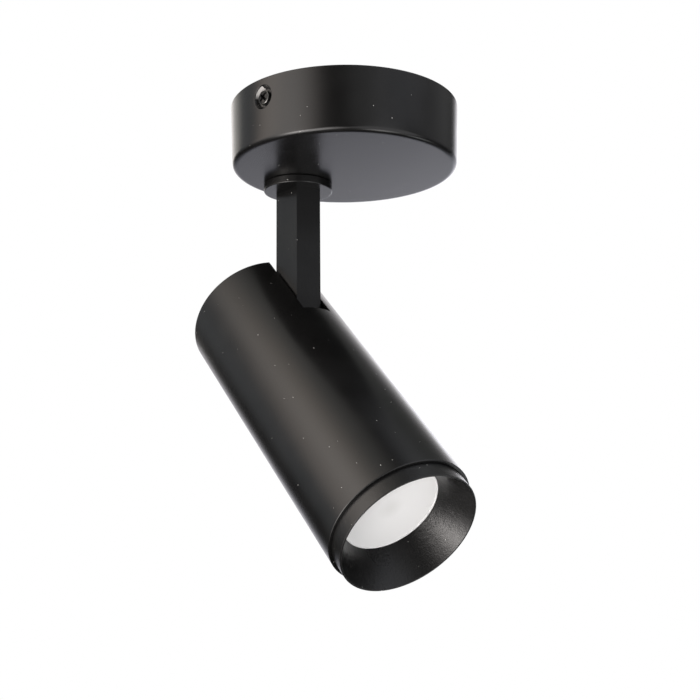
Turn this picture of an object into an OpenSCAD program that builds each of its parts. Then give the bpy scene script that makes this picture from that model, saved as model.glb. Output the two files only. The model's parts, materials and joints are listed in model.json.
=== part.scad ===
/* [Canopy] */
// Outer diameter of the canopy at the ceiling
canopy_d = 100; // [96:1:120]
// Height of the canopy below the ceiling
canopy_h = 27.5; // [27:0.5:36]
// How much the canopy loses in radius down to its lower edge
canopy_draft = 0.8; // [0:0.1:1.4]
// Thickness of the canopy's wall and floor
canopy_wall = 2; // [1.6:0.1:2.3]
// Radius of the canopy's rounded lower edge
canopy_edge_r = 1.6; // [0.5:0.1:1.8]
// Distance of the swivel axis from the canopy's rim
swivel_inset = 21; // [20:0.5:22.5]

/* [Side screws] */
// Depth of the side screws below the ceiling
side_screw_drop = 8; // [7.5:0.5:10]
// Thread diameter of the side screws
side_screw_d = 3; // [3:0.5:4]
// Head diameter of the side screws
side_head_d = 6; // [5.6:0.1:6.6]
// Height of the side screws' heads
side_head_h = 2; // [1.6:0.1:2.1]
// Length of the side screws under the head
side_screw_len = 8; // [7:0.5:9]
// Diameter of the screw dimple at the canopy's surface
dimple_d = 10; // [9.5:0.1:11.5]
// Diameter of the screw dimple at its bottom
dimple_floor_d = 8.4; // [7.4:0.1:9]
// Depth of the screw dimple
dimple_depth = 2.2; // [2.1:0.1:2.5]
// Diameter of the boss behind each dimple
dimple_boss_d = 13; // [12.5:0.5:14]
// Metal left under each screw head
dimple_floor_t = 1.6; // [1.2:0.1:2]

/* [Mounting bracket] */
// Width of the bracket's strip
bracket_w = 20; // [18:1:22]
// Sheet thickness of the bracket
bracket_t = 1.5; // [1.2:0.1:2]
// Length of the bracket's flanges, from the ceiling down
flange_h = 14; // [12.5:0.5:15]
// Inner bend radius of the bracket's corners
bend_r = 1.5; // [1:0.1:2]
// Distance between the centres of the two ceiling slots
ceiling_pitch = 60; // [54:1:64]
// Width of the ceiling slots
ceiling_slot_w = 4.5; // [4:0.1:5.5]
// Length of the ceiling slots, end to end
ceiling_slot_len = 12; // [8:0.5:14]
// Diameter of the supply cable's hole in the bracket
cable_hole_d = 12; // [10:0.5:13]

/* [Swivel] */
// Diameter of the collar under the canopy
collar_d = 31; // [26:0.5:34]
// Thickness of the collar
collar_t = 3.5; // [3.2:0.1:5]
// Bevel around the collar's edges
collar_bevel = 0.4; // [0.2:0.1:0.6]
// Diameter of the hollow stem
stem_d = 8; // [7.5:0.1:8.5]
// Diameter of the stem's bore for the leads
stem_bore_d = 5; // [4.5:0.1:5.4]
// Length of thread that the stem has inside the arm
stem_grip = 10; // [8:0.5:14]
// Outer diameter of the washers on the stem
washer_d = 17; // [15:0.5:18]
// Distance from the swivel axis to the end of the stop tab
tab_reach = 15; // [14.5:0.5:16]
// Width of the stop tab
tab_w = 2.4; // [2:0.1:3]
// Diameter of the stop pin
pin_d = 3; // [2:0.1:3.2]
// Height of the stop pin above the canopy's floor
pin_h = 4; // [3:0.5:5]
// Width of the swivel nut across its flats
swivel_nut_af = 13; // [12:0.5:14]
// Height of the swivel nut
swivel_nut_h = 4; // [3:0.5:5]

/* [Arm] */
// Depth of the arm, along the direction that the head tilts
arm_depth = 16.3; // [14:0.1:17]
// Breadth of the arm, across the slot
arm_breadth = 12.8; // [11:0.1:13.4]
// Bevel along the arm's long edges
arm_bevel = 0.5; // [0.2:0.1:1]
// Distance of the pivot below the ceiling
pivot_drop = 90.8; // [85:0.1:120]
// Diameter of the passage for the leads in the arm
arm_bore_d = 5; // [3:0.1:5.4]
// Turn of the arm about the swivel axis in the stored pose
rest_yaw = -10.4; // [-60:0.1:60]
// Tilt of the head from straight down in the stored pose
rest_tilt = 46.4; // [0:0.1:90]

/* [Housing tube] */
// Outer diameter of the housing tube
tube_d = 62.2; // [61.6:0.1:66]
// Wall thickness of the housing tube
tube_wall = 1.3; // [1:0.1:1.6]
// Length of the housing tube
tube_len = 142.7; // [136:0.1:170]
// Bevel on the tube's ends
tube_bevel = 0.35; // [0.2:0.05:0.5]
// Distance of the pivot from the tube's rear end
pivot_back = 29.2; // [26:0.1:32]
// Distance of the pivot from the tube's axis
pivot_off = 18.4; // [17.6:0.1:19]
// Gap between the arm and each side of the slot
slot_gap = 0.75; // [0.5:0.05:1]
// Gap between the arm and the end of the slot at full tilt
slot_end_gap = 0.55; // [0.4:0.05:1]
// Thickness of the rear cap's disc
cap_t = 2; // [1.5:0.1:2.5]
// Length of the rear cap's skirt
cap_skirt = 4; // [3:0.5:5]

/* [Pivot] */
// Thickness of the pivot bracket's sheet
yoke_t = 3; // [2.5:0.1:3.4]
// Radius of the pivot bracket's ears
ear_r = 7; // [6:0.1:7.4]
// Diameter of the pivot bolt
bolt_d = 5; // [4:0.1:5.5]
// Head diameter of the pivot bolt
bolt_head_d = 8.5; // [7.5:0.1:8.8]
// Head height of the pivot bolt
bolt_head_h = 4; // [3:0.1:5]
// Width of the pivot nut across its flats
pivot_nut_af = 8; // [7.5:0.1:8.5]
// Height of the pivot nut
pivot_nut_h = 4; // [3:0.1:4.5]
// Thickness of the friction washers beside the arm
friction_t = 0.6; // [0.4:0.1:1]

/* [Light engine] */
// Length of the heat sink
sink_len = 51; // [40:0.5:56]
// Number of cooling fins
fin_n = 18; // [8:1:24]
// Thickness of each fin
fin_t = 1.6; // [1.2:0.1:2]
// Diameter of the heat sink's core
core_d = 26; // [24:0.5:30]
// Thickness of the heat sink's front plate
sink_plate = 6; // [5:0.5:8]
// Side of the square light board
board_side = 19; // [17:0.5:20]
// Diameter of the light-giving spot on the board
spot_d = 13; // [9:0.5:14]
// Outer diameter of the board's holder
holder_d = 38; // [36:0.5:44]
// Height of the board's holder
holder_h = 5; // [4.2:0.1:6]
// Wall thickness of the reflector
reflector_wall = 1.2; // [0.8:0.1:1.4]
// Thickness of the diffuser disc
diffuser_t = 2; // [1.5:0.1:3]

/* [Front ring] */
// Outer diameter of the front ring
ring_d = 59.4; // [58.6:0.1:59.5]
// How far the front ring stands out of the tube
ring_proud = 7; // [4:0.1:10]
// Diameter of the ring's mouth
mouth_d = 58; // [56.5:0.1:58.2]
// Diameter of the opening at the back of the ring
throat_d = 42.5; // [38:0.1:43]
// Depth of the ring's cone
cone_depth = 15.4; // [13:0.1:20]
// Wall thickness of the ring's cone
cone_wall = 1.3; // [1:0.1:1.6]
// Thickness of the sealing ring's cord
seal_d = 1.4; // [1.2:0.05:1.5]

/* [Driver and terminals] */
// Length of the driver's case
driver_l = 44; // [36:0.5:48]
// Width of the driver's case
driver_w = 34; // [30:0.5:38]
// Height of the driver's case
driver_h = 15; // [13:0.5:16]
// Wall thickness of the driver's case
driver_wall = 1.6; // [1.2:0.1:2]
// Length of the terminal block
block_l = 28; // [26:0.5:30]
// Width of the terminal block
block_w = 12; // [11:0.5:13]
// Height of the terminal block
block_h = 12; // [10:0.5:13]
// Thread diameter of the small fixing screws
small_screw_d = 3; // [2.5:0.1:3]
// Thread diameter of the earth screw
earth_screw_d = 4; // [3.5:0.1:4.5]

/* [Hidden] */
$fn = 96;

black = [0.10, 0.10, 0.11];
steel = [0.70, 0.71, 0.73];
zinc = [0.78, 0.77, 0.72];
brass = [0.80, 0.65, 0.30];
nylon = [0.90, 0.89, 0.85];
alloy = [0.80, 0.81, 0.83];
plastic_white = [0.93, 0.93, 0.92];
rubber = [0.06, 0.06, 0.06];

// Clearances: a turning fit, a fixed fit, and two parts that turn past each other
run_gap = 0.05;
fix_gap = 0.05;
pass_gap = 0.1;
eps = 0.01;

canopy_r = canopy_d / 2;
canopy_low_r = canopy_r - canopy_draft;
floor_z = canopy_wall - canopy_h;
// Radius of the canopy's outer wall at the side screws
side_r = canopy_r - canopy_draft * side_screw_drop / canopy_h;
boss_y = side_r - dimple_depth - dimple_floor_t;
flange_y = boss_y - 0.2;

swivel_x = swivel_inset - canopy_r;
stem_r = stem_d / 2;
// Distance of the stop pin from the swivel axis, inside the tab's end
pin_ring_r = tab_reach - 2;
pin_sink = 1;
stem_flat = stem_r - 0.6;

collar_top = -canopy_h - pass_gap;
collar_low = collar_top - collar_t;
collar_recess = 0.6;
collar_recess_r = 11;
key_l = 11;
key_w = 8.6;
key_h = 1.2;

thrust_t = 1;
stop_t = 1.2;
spring_t = 0.8;
spring_rise = 0.6;
stop_z = floor_z + thrust_t + pass_gap;
spring_z = stop_z + stop_t;
swivel_nut_z = spring_z + spring_t + spring_rise;
stem_top = swivel_nut_z + swivel_nut_h + 1;
bush_flange = 1;

pivot_z = -pivot_drop;
arm_end_r = arm_depth / 2;
// Where the leads leave the arm, above the pivot bolt
lead_exit_z = pivot_z + bolt_d / 2 + arm_bore_d / 2 + 1.2;

tube_r = tube_d / 2;
bore_r = tube_r - tube_wall;
slot_w = arm_breadth + 2 * slot_gap;
slot_end = pivot_back + arm_end_r + slot_end_gap;
// The rear cap's notch leaves the arm free when the head hangs straight down
notch_off = pivot_off - arm_end_r - 1;
step_r = bore_r + 0.5;
cap_inset = 0.2;

ear_in = arm_breadth / 2 + friction_t + run_gap;
ear_out = ear_in + yoke_t;
yoke_z = slot_end + 0.5;
sink_z = yoke_z + yoke_t;
sink_front = sink_z + sink_len;
sink_r = bore_r - 0.15;
sink_flange = 4;
sink_flange_r = 23;
yoke_low = -8;
yoke_high = pivot_off + 4;
yoke_half = 17.5;
yoke_screw_x = 14;
yoke_screw_y = [-4, 14];
cap_screw_at = 13;

snap_t = 1;
snap_depth = 0.5;
pad_t = 0.5;
board_t = 1.5;
board_z = sink_front + pad_t;
spot_h = 0.6;
holder_screw_at = holder_d / 2 - 4;

ring_front = tube_len + ring_proud;
throat_z = ring_front - cone_depth;
ring_r = ring_d / 2;
mouth_r = mouth_d / 2;
throat_r = throat_d / 2;
lip_bevel = 0.2;
skirt_t = 2.6;
// Slope of the ring's cone, radius gained per length
cone_slope = (mouth_r - throat_r) / cone_depth;
cone_back_r = throat_r + cone_wall * sqrt(1 + cone_slope * cone_slope);
skirt_in_r = ring_r - skirt_t;
seal_z = throat_z + 4;
seal_r = bore_r - 0.03 - seal_d / 2;
seal_groove_r = seal_r - seal_d / 2;

diffuser_r = throat_r + 1.15;
diffuser_front = throat_z - 0.1;
diffuser_z = diffuser_front - diffuser_t;
reflector_z = sink_front + holder_h;
reflector_in_r = 8;
reflector_out_r = throat_r + 0.15;
reflector_steps = 12;
reflector_rim_r = bore_r - 0.3;
reflector_rim_t = 1.2;

driver_x = swivel_x + tab_reach + 3;
driver_mid = driver_x + driver_l / 2;
ear_l = 8;
ear_w = 10;
ear_t = 2;
ear_boss_h = 5;
small_head_d = 2 * small_screw_d - 0.5;
small_head_h = 0.65 * small_screw_d;
block_x = driver_x + 3;
block_y = canopy_low_r - canopy_wall - 8.7 - block_w / 2;
block_pad = 4;
pole_pitch = 8.5;
block_fix_x = block_x + pole_pitch / 2;
block_screw_d = 2.5;
pole_hole_d = 4;
// Distance of the clamping screws from the block's middle line
clamp_off = 3.4;
clamp_screw_d = 2.6;
clamp_head_d = 3.2;
clamp_head_h = 2;
clamp_sink = 1;
coil_h = 6;
can_h = 7;
can_d = 6.4;
small_can_d = 5.2;
chip_h = 4;
board_sheet = 1.2;
foot_h = 1.6;
foot_in = 3;
earth_x = driver_x + 2;
earth_y = 15.7 - canopy_low_r;
earth_boss_h = 6;
earth_washer_t = 0.8;

// A ring with a square section
module ring(r_out, r_in, h) {
    difference() {
        cylinder(r = r_out, h = h);
        translate([0, 0, -eps]) cylinder(r = r_in, h = h + 2 * eps);
    }
}

// A cross recess cut into the top of a screw head at z = 0
module cross_recess(w) {
    depth = 0.42 * w;
    for (a = [0, 90])
        rotate([0, 0, a])
            translate([-w / 2, -w / 7, -depth])
                cube([w, 2 * w / 7, depth + eps]);
    translate([0, 0, -depth]) cylinder(r1 = w / 7, r2 = w / 3.2, h = depth + eps, $fn = 24);
}

// A pan head screw: its head stands on z = 0 and its shank runs down
module pan_screw(d, len, head_d, head_h) {
    difference() {
        union() {
            rotate_extrude()
                polygon([[0, 0], [head_d / 2, 0], [head_d / 2, 0.45 * head_h],
                         [0.44 * head_d, 0.8 * head_h], [0.3 * head_d, head_h], [0, head_h]]);
            translate([0, 0, 0.8 - len]) cylinder(d = d, h = len - 0.8 + eps);
            translate([0, 0, -len]) cylinder(d1 = d - 1, d2 = d, h = 0.8 + eps);
        }
        translate([0, 0, head_h]) cross_recess(0.6 * head_d);
    }
}

// A countersunk screw whose head's top is at z = 0
module flat_screw(d, len) {
    head_h = 0.55 * d;
    difference() {
        union() {
            translate([0, 0, -head_h]) cylinder(d1 = d, d2 = 2 * d - 0.2, h = head_h);
            translate([0, 0, -len]) cylinder(d = d, h = len - head_h + eps);
        }
        cross_recess(d);
    }
}

// A hex nut with bevelled corners, standing on z = 0
module hex_nut(af, h, bore_d) {
    corner = af / cos(30);
    bevel = 0.07 * af;
    difference() {
        intersection() {
            cylinder(d = corner, h = h, $fn = 6);
            rotate_extrude()
                polygon([[0, 0], [corner / 2 - bevel, 0], [corner / 2, bevel / 2],
                         [corner / 2, h - bevel / 2], [corner / 2 - bevel, h], [0, h]]);
        }
        translate([0, 0, -eps]) cylinder(d = bore_d, h = h + 2 * eps);
    }
}

// A slightly coned spring washer, its hollow side down
module disc_spring(r_out, r_in, t, rise) {
    rotate_extrude()
        polygon([[r_in, rise], [r_out, 0], [r_out, t], [r_in, rise + t]]);
}

// Places children on the swivel axis, turned as the arm is
module on_swivel() {
    translate([swivel_x, 0, 0]) rotate([0, 0, rest_yaw]) children();
}

// Places children in the head: X across the slot, Y towards the slot, Z along the
// tube from its rear end to the front
module in_head() {
    on_swivel()
        translate([0, 0, pivot_z])
            rotate([0, -rest_tilt, 0])
                rotate([180, 0, 90])
                    translate([0, -pivot_off, -pivot_back])
                        children();
}

// Places children at the pivot's end of the head, with Z along the pivot axis
module on_pivot() {
    in_head() translate([0, pivot_off, pivot_back]) rotate([0, 90, 0]) children();
}

// Places children at both side screws, with Z pointing out of the canopy
module at_side_screws() {
    for (a = [90, -90])
        rotate([0, 0, a])
            translate([side_r, 0, -side_screw_drop])
                rotate([0, 90, 0])
                    children();
}

// Places children at the driver's two fixing ears
module at_driver_ears() {
    for (s = [-1, 1])
        translate([driver_mid, s * (driver_w / 2 + ear_l / 2), floor_z + ear_boss_h])
            children();
}

module canopy() {
    in_r = canopy_r - canopy_wall;
    in_low_r = canopy_low_r - canopy_wall;
    e = canopy_edge_r;
    color(black) difference() {
        union() {
            rotate_extrude() difference() {
                union() {
                    polygon([[0, -canopy_h], [canopy_low_r - e, -canopy_h],
                             [canopy_low_r - e, e - canopy_h], [canopy_low_r, e - canopy_h],
                             [canopy_r, 0], [0, 0]]);
                    translate([canopy_low_r - e, e - canopy_h]) circle(r = e);
                }
                polygon([[-eps, floor_z], [in_low_r, floor_z], [in_r, eps], [-eps, eps]]);
                translate([-canopy_r, -2 * canopy_h]) square([canopy_r, 3 * canopy_h]);
            }
            intersection() {
                at_side_screws()
                    translate([0, 0, -dimple_depth - dimple_floor_t])
                        cylinder(d = dimple_boss_d, h = dimple_depth + dimple_floor_t);
                translate([0, 0, floor_z]) cylinder(r = in_low_r + 0.5, h = -floor_z);
            }
            at_driver_ears()
                translate([0, 0, -ear_boss_h - eps]) cylinder(r = 3.5, h = ear_boss_h + eps);
            translate([block_fix_x, block_y, floor_z - eps]) cylinder(r = 4.5, h = block_pad + eps);
            translate([earth_x, earth_y, floor_z - eps]) cylinder(r = 4.5, h = earth_boss_h + eps);
        }
        at_side_screws() {
            translate([0, 0, -dimple_depth])
                cylinder(d1 = dimple_floor_d, d2 = dimple_d, h = dimple_depth);
            cylinder(d = dimple_d, h = 4);
            translate([0, 0, -12]) cylinder(d = side_screw_d + 0.4, h = 12);
        }
        translate([swivel_x, 0, -canopy_h - 1]) cylinder(r = stem_r + run_gap, h = canopy_wall + 2);
        translate([swivel_x + pin_ring_r, 0, floor_z - pin_sink])
            cylinder(d = pin_d + 2 * fix_gap, h = 3);
        at_driver_ears()
            translate([0, 0, 1 - ear_boss_h]) cylinder(d = small_screw_d + 2 * fix_gap, h = ear_boss_h);
        translate([block_fix_x, block_y, floor_z]) cylinder(d = block_screw_d + 2 * fix_gap, h = 8);
        translate([earth_x, earth_y, floor_z]) cylinder(d = earth_screw_d + 2 * fix_gap, h = 8);
    }
}

module mounting_bracket() {
    outer_r = bend_r + bracket_t;
    color(zinc) difference() {
        rotate([90, 0, 90]) translate([0, 0, -bracket_w / 2]) linear_extrude(bracket_w) {
            half = flange_y - outer_r + eps;
            translate([-half, -bracket_t]) square([2 * half, bracket_t]);
            for (s = [0, 1]) mirror([s, 0]) {
                translate([flange_y - bracket_t, -flange_h]) square([bracket_t, flange_h - outer_r + eps]);
                translate([flange_y - outer_r, -outer_r]) difference() {
                    circle(r = outer_r);
                    circle(r = bend_r);
                    translate([-2 * outer_r, -2 * outer_r]) square([2 * outer_r, 4 * outer_r]);
                    translate([-2 * outer_r, -2 * outer_r]) square([4 * outer_r, 2 * outer_r]);
                }
            }
        }
        for (s = [-1, 1]) translate([0, s * ceiling_pitch / 2, -5]) {
            reach = (ceiling_slot_len - ceiling_slot_w) / 2;
            translate([-ceiling_slot_w / 2, -reach, 0]) cube([ceiling_slot_w, 2 * reach, 10]);
            for (e = [-1, 1]) translate([0, e * reach, 0]) cylinder(d = ceiling_slot_w, h = 10);
        }
        translate([0, 0, -5]) cylinder(d = cable_hole_d, h = 10);
        at_side_screws() translate([0, 0, -12]) cylinder(d = side_screw_d + 2 * fix_gap, h = 12);
    }
}

module side_screws() {
    color(black)
        at_side_screws()
            translate([0, 0, -dimple_depth])
                rotate([0, 0, 45])
                    pan_screw(side_screw_d, side_screw_len, side_head_d, side_head_h);
}

module thrust_washer() {
    color(nylon)
        translate([swivel_x, 0, floor_z])
            ring(washer_d / 2 + 0.5, stem_r + 0.15, thrust_t);
}

module stop_pin() {
    color(steel)
        translate([swivel_x + pin_ring_r, 0, floor_z - pin_sink])
            cylinder(d = pin_d, h = pin_h + pin_sink);
}

module driver_case() {
    color(plastic_white) difference() {
        union() {
            translate([driver_x, -driver_w / 2, floor_z])
                cube([driver_l, driver_w, driver_h - driver_wall]);
            at_driver_ears() translate([-ear_w / 2, -ear_l / 2, 0]) cube([ear_w, ear_l, ear_t]);
        }
        translate([driver_x + driver_wall, driver_wall - driver_w / 2, floor_z + driver_wall])
            cube([driver_l - 2 * driver_wall, driver_w - 2 * driver_wall, driver_h]);
        at_driver_ears() translate([0, 0, -1]) cylinder(d = small_screw_d + 0.4, h = 5);
        for (x = [driver_x - 1, driver_x + driver_l - driver_wall - 1])
            translate([x, 0, floor_z + 0.6 * driver_h])
                rotate([0, 90, 0]) cylinder(d = 4, h = driver_wall + 2);
    }
}

module driver_cover() {
    lip = 1.2;
    color(plastic_white) translate([driver_x, -driver_w / 2, floor_z + driver_h - driver_wall]) {
        cube([driver_l, driver_w, driver_wall]);
        difference() {
            translate([driver_wall + 0.1, driver_wall + 0.1, -2])
                cube([driver_l - 2 * driver_wall - 0.2, driver_w - 2 * driver_wall - 0.2, 2 + eps]);
            translate([driver_wall + lip, driver_wall + lip, -2 - eps])
                cube([driver_l - 2 * (driver_wall + lip), driver_w - 2 * (driver_wall + lip), 2 + eps]);
        }
    }
}

module driver_board() {
    bl = driver_l - 2 * driver_wall - 1;
    bw = driver_w - 2 * driver_wall - 1;
    color([0.12, 0.35, 0.20]) translate([driver_x + driver_wall + 0.5, -bw / 2, floor_z + driver_wall]) {
        translate([0, 0, foot_h - board_sheet / 2]) cube([bl, bw, board_sheet]);
        for (x = [foot_in, bl - foot_in]) for (y = [foot_in, bw - foot_in])
            translate([x, y, 0]) cylinder(d = 2.4, h = foot_h, $fn = 24);
        translate([0.34 * bl, 0.2 * bw, foot_h]) cube([0.3 * bl, 0.5 * bw, coil_h]);
        translate([0.15 * bl, 0.3 * bw, foot_h]) cylinder(d = can_d, h = can_h);
        translate([0.82 * bl, 0.32 * bw, foot_h]) cylinder(d = small_can_d, h = coil_h);
        translate([0.75 * bl, 0.65 * bw, foot_h]) cube([0.16 * bl, 0.2 * bw, chip_h]);
    }
}

module driver_screws() {
    color(zinc)
        at_driver_ears()
            translate([0, 0, ear_t])
                pan_screw(small_screw_d, ear_t + ear_boss_h - 1.5, small_head_d, small_head_h);
}

// Centres of the terminal block's three poles along X
function poles() = [for (i = [-1, 0, 1]) block_x + i * pole_pitch];

module terminal_block() {
    z0 = floor_z + block_pad;
    color(plastic_white) difference() {
        translate([block_x - block_l / 2, block_y - block_w / 2, z0]) cube([block_l, block_w, block_h]);
        for (x = poles()) {
            translate([x, block_y - block_w / 2 - 1, z0 + 0.5 * block_h])
                rotate([-90, 0, 0]) cylinder(d = pole_hole_d + 0.6, h = block_w + 2);
            for (s = [-1, 1]) translate([x, block_y + s * clamp_off, z0 + 0.5 * block_h])
                cylinder(d = clamp_head_d + 0.2, h = block_h);
        }
        for (s = [-1, 1]) translate([block_x + s * pole_pitch / 2, block_y, z0]) {
            cylinder(d = block_screw_d + 0.3, h = 2 * block_h, center = true);
            translate([-0.4, -block_w, 0.7 * block_h]) cube([0.8, 2 * block_w, block_h]);
        }
    }
}

module terminal_clamps() {
    z0 = floor_z + block_pad + 0.5 * block_h;
    color(brass) for (x = poles()) difference() {
        translate([x, block_y - block_w / 2 + 0.8, z0])
            rotate([-90, 0, 0]) cylinder(d = pole_hole_d + 0.5, h = block_w - 1.6);
        translate([x, block_y - block_w / 2, z0])
            rotate([-90, 0, 0]) cylinder(d = pole_hole_d - 1.2, h = block_w);
        for (s = [-1, 1])
            translate([x, block_y + s * clamp_off, z0]) cylinder(d = clamp_screw_d + 0.1, h = pole_hole_d);
    }
}

module terminal_screws() {
    shank = 0.5 * block_h - clamp_sink;
    color(zinc) for (x = poles()) for (s = [-1, 1])
        translate([x, block_y + s * clamp_off, floor_z + block_pad + 0.5 * block_h]) difference() {
            union() {
                cylinder(d = clamp_screw_d, h = shank);
                translate([0, 0, shank - clamp_head_h]) cylinder(d = clamp_head_d, h = clamp_head_h);
            }
            translate([-clamp_head_d, -0.25, shank - 0.35 * clamp_head_h])
                cube([2 * clamp_head_d, 0.5, clamp_head_h]);
        }
}

module block_screw() {
    z0 = floor_z + block_pad + block_h;
    color(zinc) translate([block_fix_x, block_y, z0])
        pan_screw(block_screw_d, block_h + block_pad - 1, 2 * block_screw_d - 0.5, 0.65 * block_screw_d);
}

module earth_screw() {
    color(brass)
        translate([earth_x, earth_y, floor_z + earth_boss_h + earth_washer_t])
            pan_screw(earth_screw_d, earth_boss_h, 2 * earth_screw_d - 0.5, 0.6 * earth_screw_d);
}

module earth_washer() {
    teeth = 10;
    color(zinc) translate([earth_x, earth_y, floor_z + earth_boss_h]) difference() {
        cylinder(r = 4.4, h = earth_washer_t);
        translate([0, 0, -eps]) cylinder(d = earth_screw_d + 0.2, h = earth_washer_t + 2 * eps);
        for (i = [0 : teeth - 1]) rotate([0, 0, i * 360 / teeth])
            translate([3.5, -0.35, -eps]) cube([2, 0.7, earth_washer_t + 2 * eps]);
    }
}

module swivel_collar() {
    r = collar_d / 2;
    b = collar_bevel;
    color(black) on_swivel() translate([0, 0, collar_low]) difference() {
        rotate_extrude()
            polygon([[stem_r + fix_gap, 0], [r - b, 0], [r, b], [r, collar_t - b], [r - b, collar_t],
                     [collar_recess_r, collar_t], [collar_recess_r, collar_t - collar_recess],
                     [stem_r + fix_gap, collar_t - collar_recess]]);
        translate([-key_l / 2 - fix_gap, -key_w / 2 - fix_gap, -eps])
            cube([key_l + 2 * fix_gap, key_w + 2 * fix_gap, key_h + fix_gap + eps]);
    }
}

module collar_washer() {
    color(nylon)
        on_swivel()
            translate([0, 0, collar_top - collar_recess])
                ring(collar_recess_r - 0.2, stem_r + 0.15, collar_recess + 0.05);
}

module swivel_stem() {
    low = collar_low - stem_grip;
    color(zinc) on_swivel() difference() {
        translate([0, 0, low]) cylinder(r = stem_r, h = stem_top - low);
        translate([0, 0, low - 1]) cylinder(d = stem_bore_d, h = stem_top - low + 2);
        translate([-stem_d - stem_flat, -stem_r - 1, stop_z - 0.1]) cube([stem_d, stem_d + 2, stop_t + 0.2]);
    }
}

module stop_washer() {
    color(steel) on_swivel() translate([0, 0, stop_z]) difference() {
        union() {
            cylinder(d = washer_d - 1, h = stop_t);
            translate([-tab_reach, -tab_w / 2, 0]) cube([tab_reach, tab_w, stop_t]);
        }
        intersection() {
            translate([0, 0, -eps]) cylinder(r = stem_r + fix_gap, h = stop_t + 2 * eps);
            translate([-stem_flat - fix_gap, -stem_d, -1]) cube([2 * stem_d, 2 * stem_d, stop_t + 2]);
        }
    }
}

module spring_washer() {
    color(steel) on_swivel() translate([0, 0, spring_z])
        disc_spring(washer_d / 2 - 0.5, stem_r + 0.2, spring_t, spring_rise);
}

module swivel_nut() {
    color(zinc)
        on_swivel()
            translate([0, 0, swivel_nut_z])
                hex_nut(swivel_nut_af, swivel_nut_h, stem_d + 2 * fix_gap);
}

module stem_bush() {
    color(rubber) on_swivel() difference() {
        union() {
            translate([0, 0, stem_top]) cylinder(r = stem_r - 0.1, h = bush_flange);
            translate([0, 0, stem_top - 4]) cylinder(d = stem_bore_d - 2 * fix_gap, h = 4 + eps);
        }
        translate([0, 0, stem_top - 5]) cylinder(d = stem_bore_d - 1.6, h = 7);
    }
}

module arm() {
    l = collar_low - pivot_z;
    hd = arm_depth / 2;
    hb = arm_breadth / 2;
    b = arm_bevel;
    color(black) on_swivel() difference() {
        union() {
            intersection() {
                translate([0, 0, pivot_z - arm_end_r])
                    linear_extrude(l + arm_end_r)
                        polygon([[b - hd, -hb], [hd - b, -hb], [hd, b - hb], [hd, hb - b],
                                 [hd - b, hb], [b - hd, hb], [-hd, hb - b], [-hd, b - hb]]);
                translate([0, hb, pivot_z]) rotate([90, 0, 0]) linear_extrude(arm_breadth) {
                    circle(r = arm_end_r);
                    translate([-hd, 0]) square([arm_depth, l]);
                }
            }
            translate([-key_l / 2, -key_w / 2, collar_low - eps]) cube([key_l, key_w, key_h + eps]);
        }
        translate([0, 0, collar_low - stem_grip - 1])
            cylinder(r = stem_r + fix_gap, h = stem_grip + key_h + 2);
        translate([0, 0, lead_exit_z]) cylinder(d = arm_bore_d, h = l);
        translate([0, 0, lead_exit_z]) rotate([0, -90, 0]) cylinder(d = arm_bore_d, h = hd + 1);
        translate([0, hb + 1, pivot_z])
            rotate([90, 0, 0]) cylinder(d = bolt_d + 2 * run_gap, h = arm_breadth + 2);
    }
}

module housing_tube() {
    b = tube_bevel;
    groove_z = sink_front + fix_gap;
    color(black) in_head() difference() {
        rotate_extrude()
            polygon([[step_r, 0], [tube_r - b, 0], [tube_r, b], [tube_r, tube_len - b],
                     [tube_r - b, tube_len], [bore_r, tube_len],
                     [bore_r, groove_z + snap_t + 0.1], [bore_r + snap_depth, groove_z + snap_t + 0.1],
                     [bore_r + snap_depth, groove_z - 0.1], [bore_r, groove_z - 0.1],
                     [bore_r, cap_t + cap_inset], [step_r, cap_t + cap_inset]]);
        translate([-slot_w / 2, 0, -1]) cube([slot_w, 2 * tube_r, slot_end + 1]);
    }
}

module rear_cap() {
    z1 = cap_inset + cap_t;
    color(black) in_head() difference() {
        union() {
            translate([0, 0, cap_inset]) cylinder(r = step_r - 0.1, h = cap_t);
            translate([0, 0, z1 - eps]) ring(bore_r - 0.1, bore_r - 1.6, cap_skirt + eps);
            at_cap_screws() translate([0, 0, z1 - eps]) cylinder(r = 3.5, h = cap_skirt + eps);
        }
        translate([-slot_w / 2, notch_off, -1]) cube([slot_w, tube_r, cap_t + cap_skirt + 3]);
        at_cap_screws() {
            translate([0, 0, -1]) cylinder(d = small_screw_d + 0.4, h = cap_t + cap_skirt + 4);
            translate([0, 0, cap_inset - eps])
                cylinder(d1 = 2 * small_screw_d + 0.2, d2 = small_screw_d + 0.4, h = 0.6 * small_screw_d);
        }
    }
}

// Places children at the rear cap's two long screws, inside the head
module at_cap_screws() {
    for (s = [-1, 1]) translate([s * cap_screw_at, -cap_screw_at, 0]) children();
}

module cap_screws() {
    color(steel) in_head() at_cap_screws() translate([0, 0, cap_inset + 0.05])
        rotate([180, 0, 0]) flat_screw(small_screw_d, sink_z + sink_flange - 0.6);
}

// Places children at the pivot bracket's four screws, on its rear face
module at_yoke_screws() {
    for (x = [-yoke_screw_x, yoke_screw_x]) for (y = yoke_screw_y)
        translate([x, y, yoke_z])
            children();
}

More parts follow.
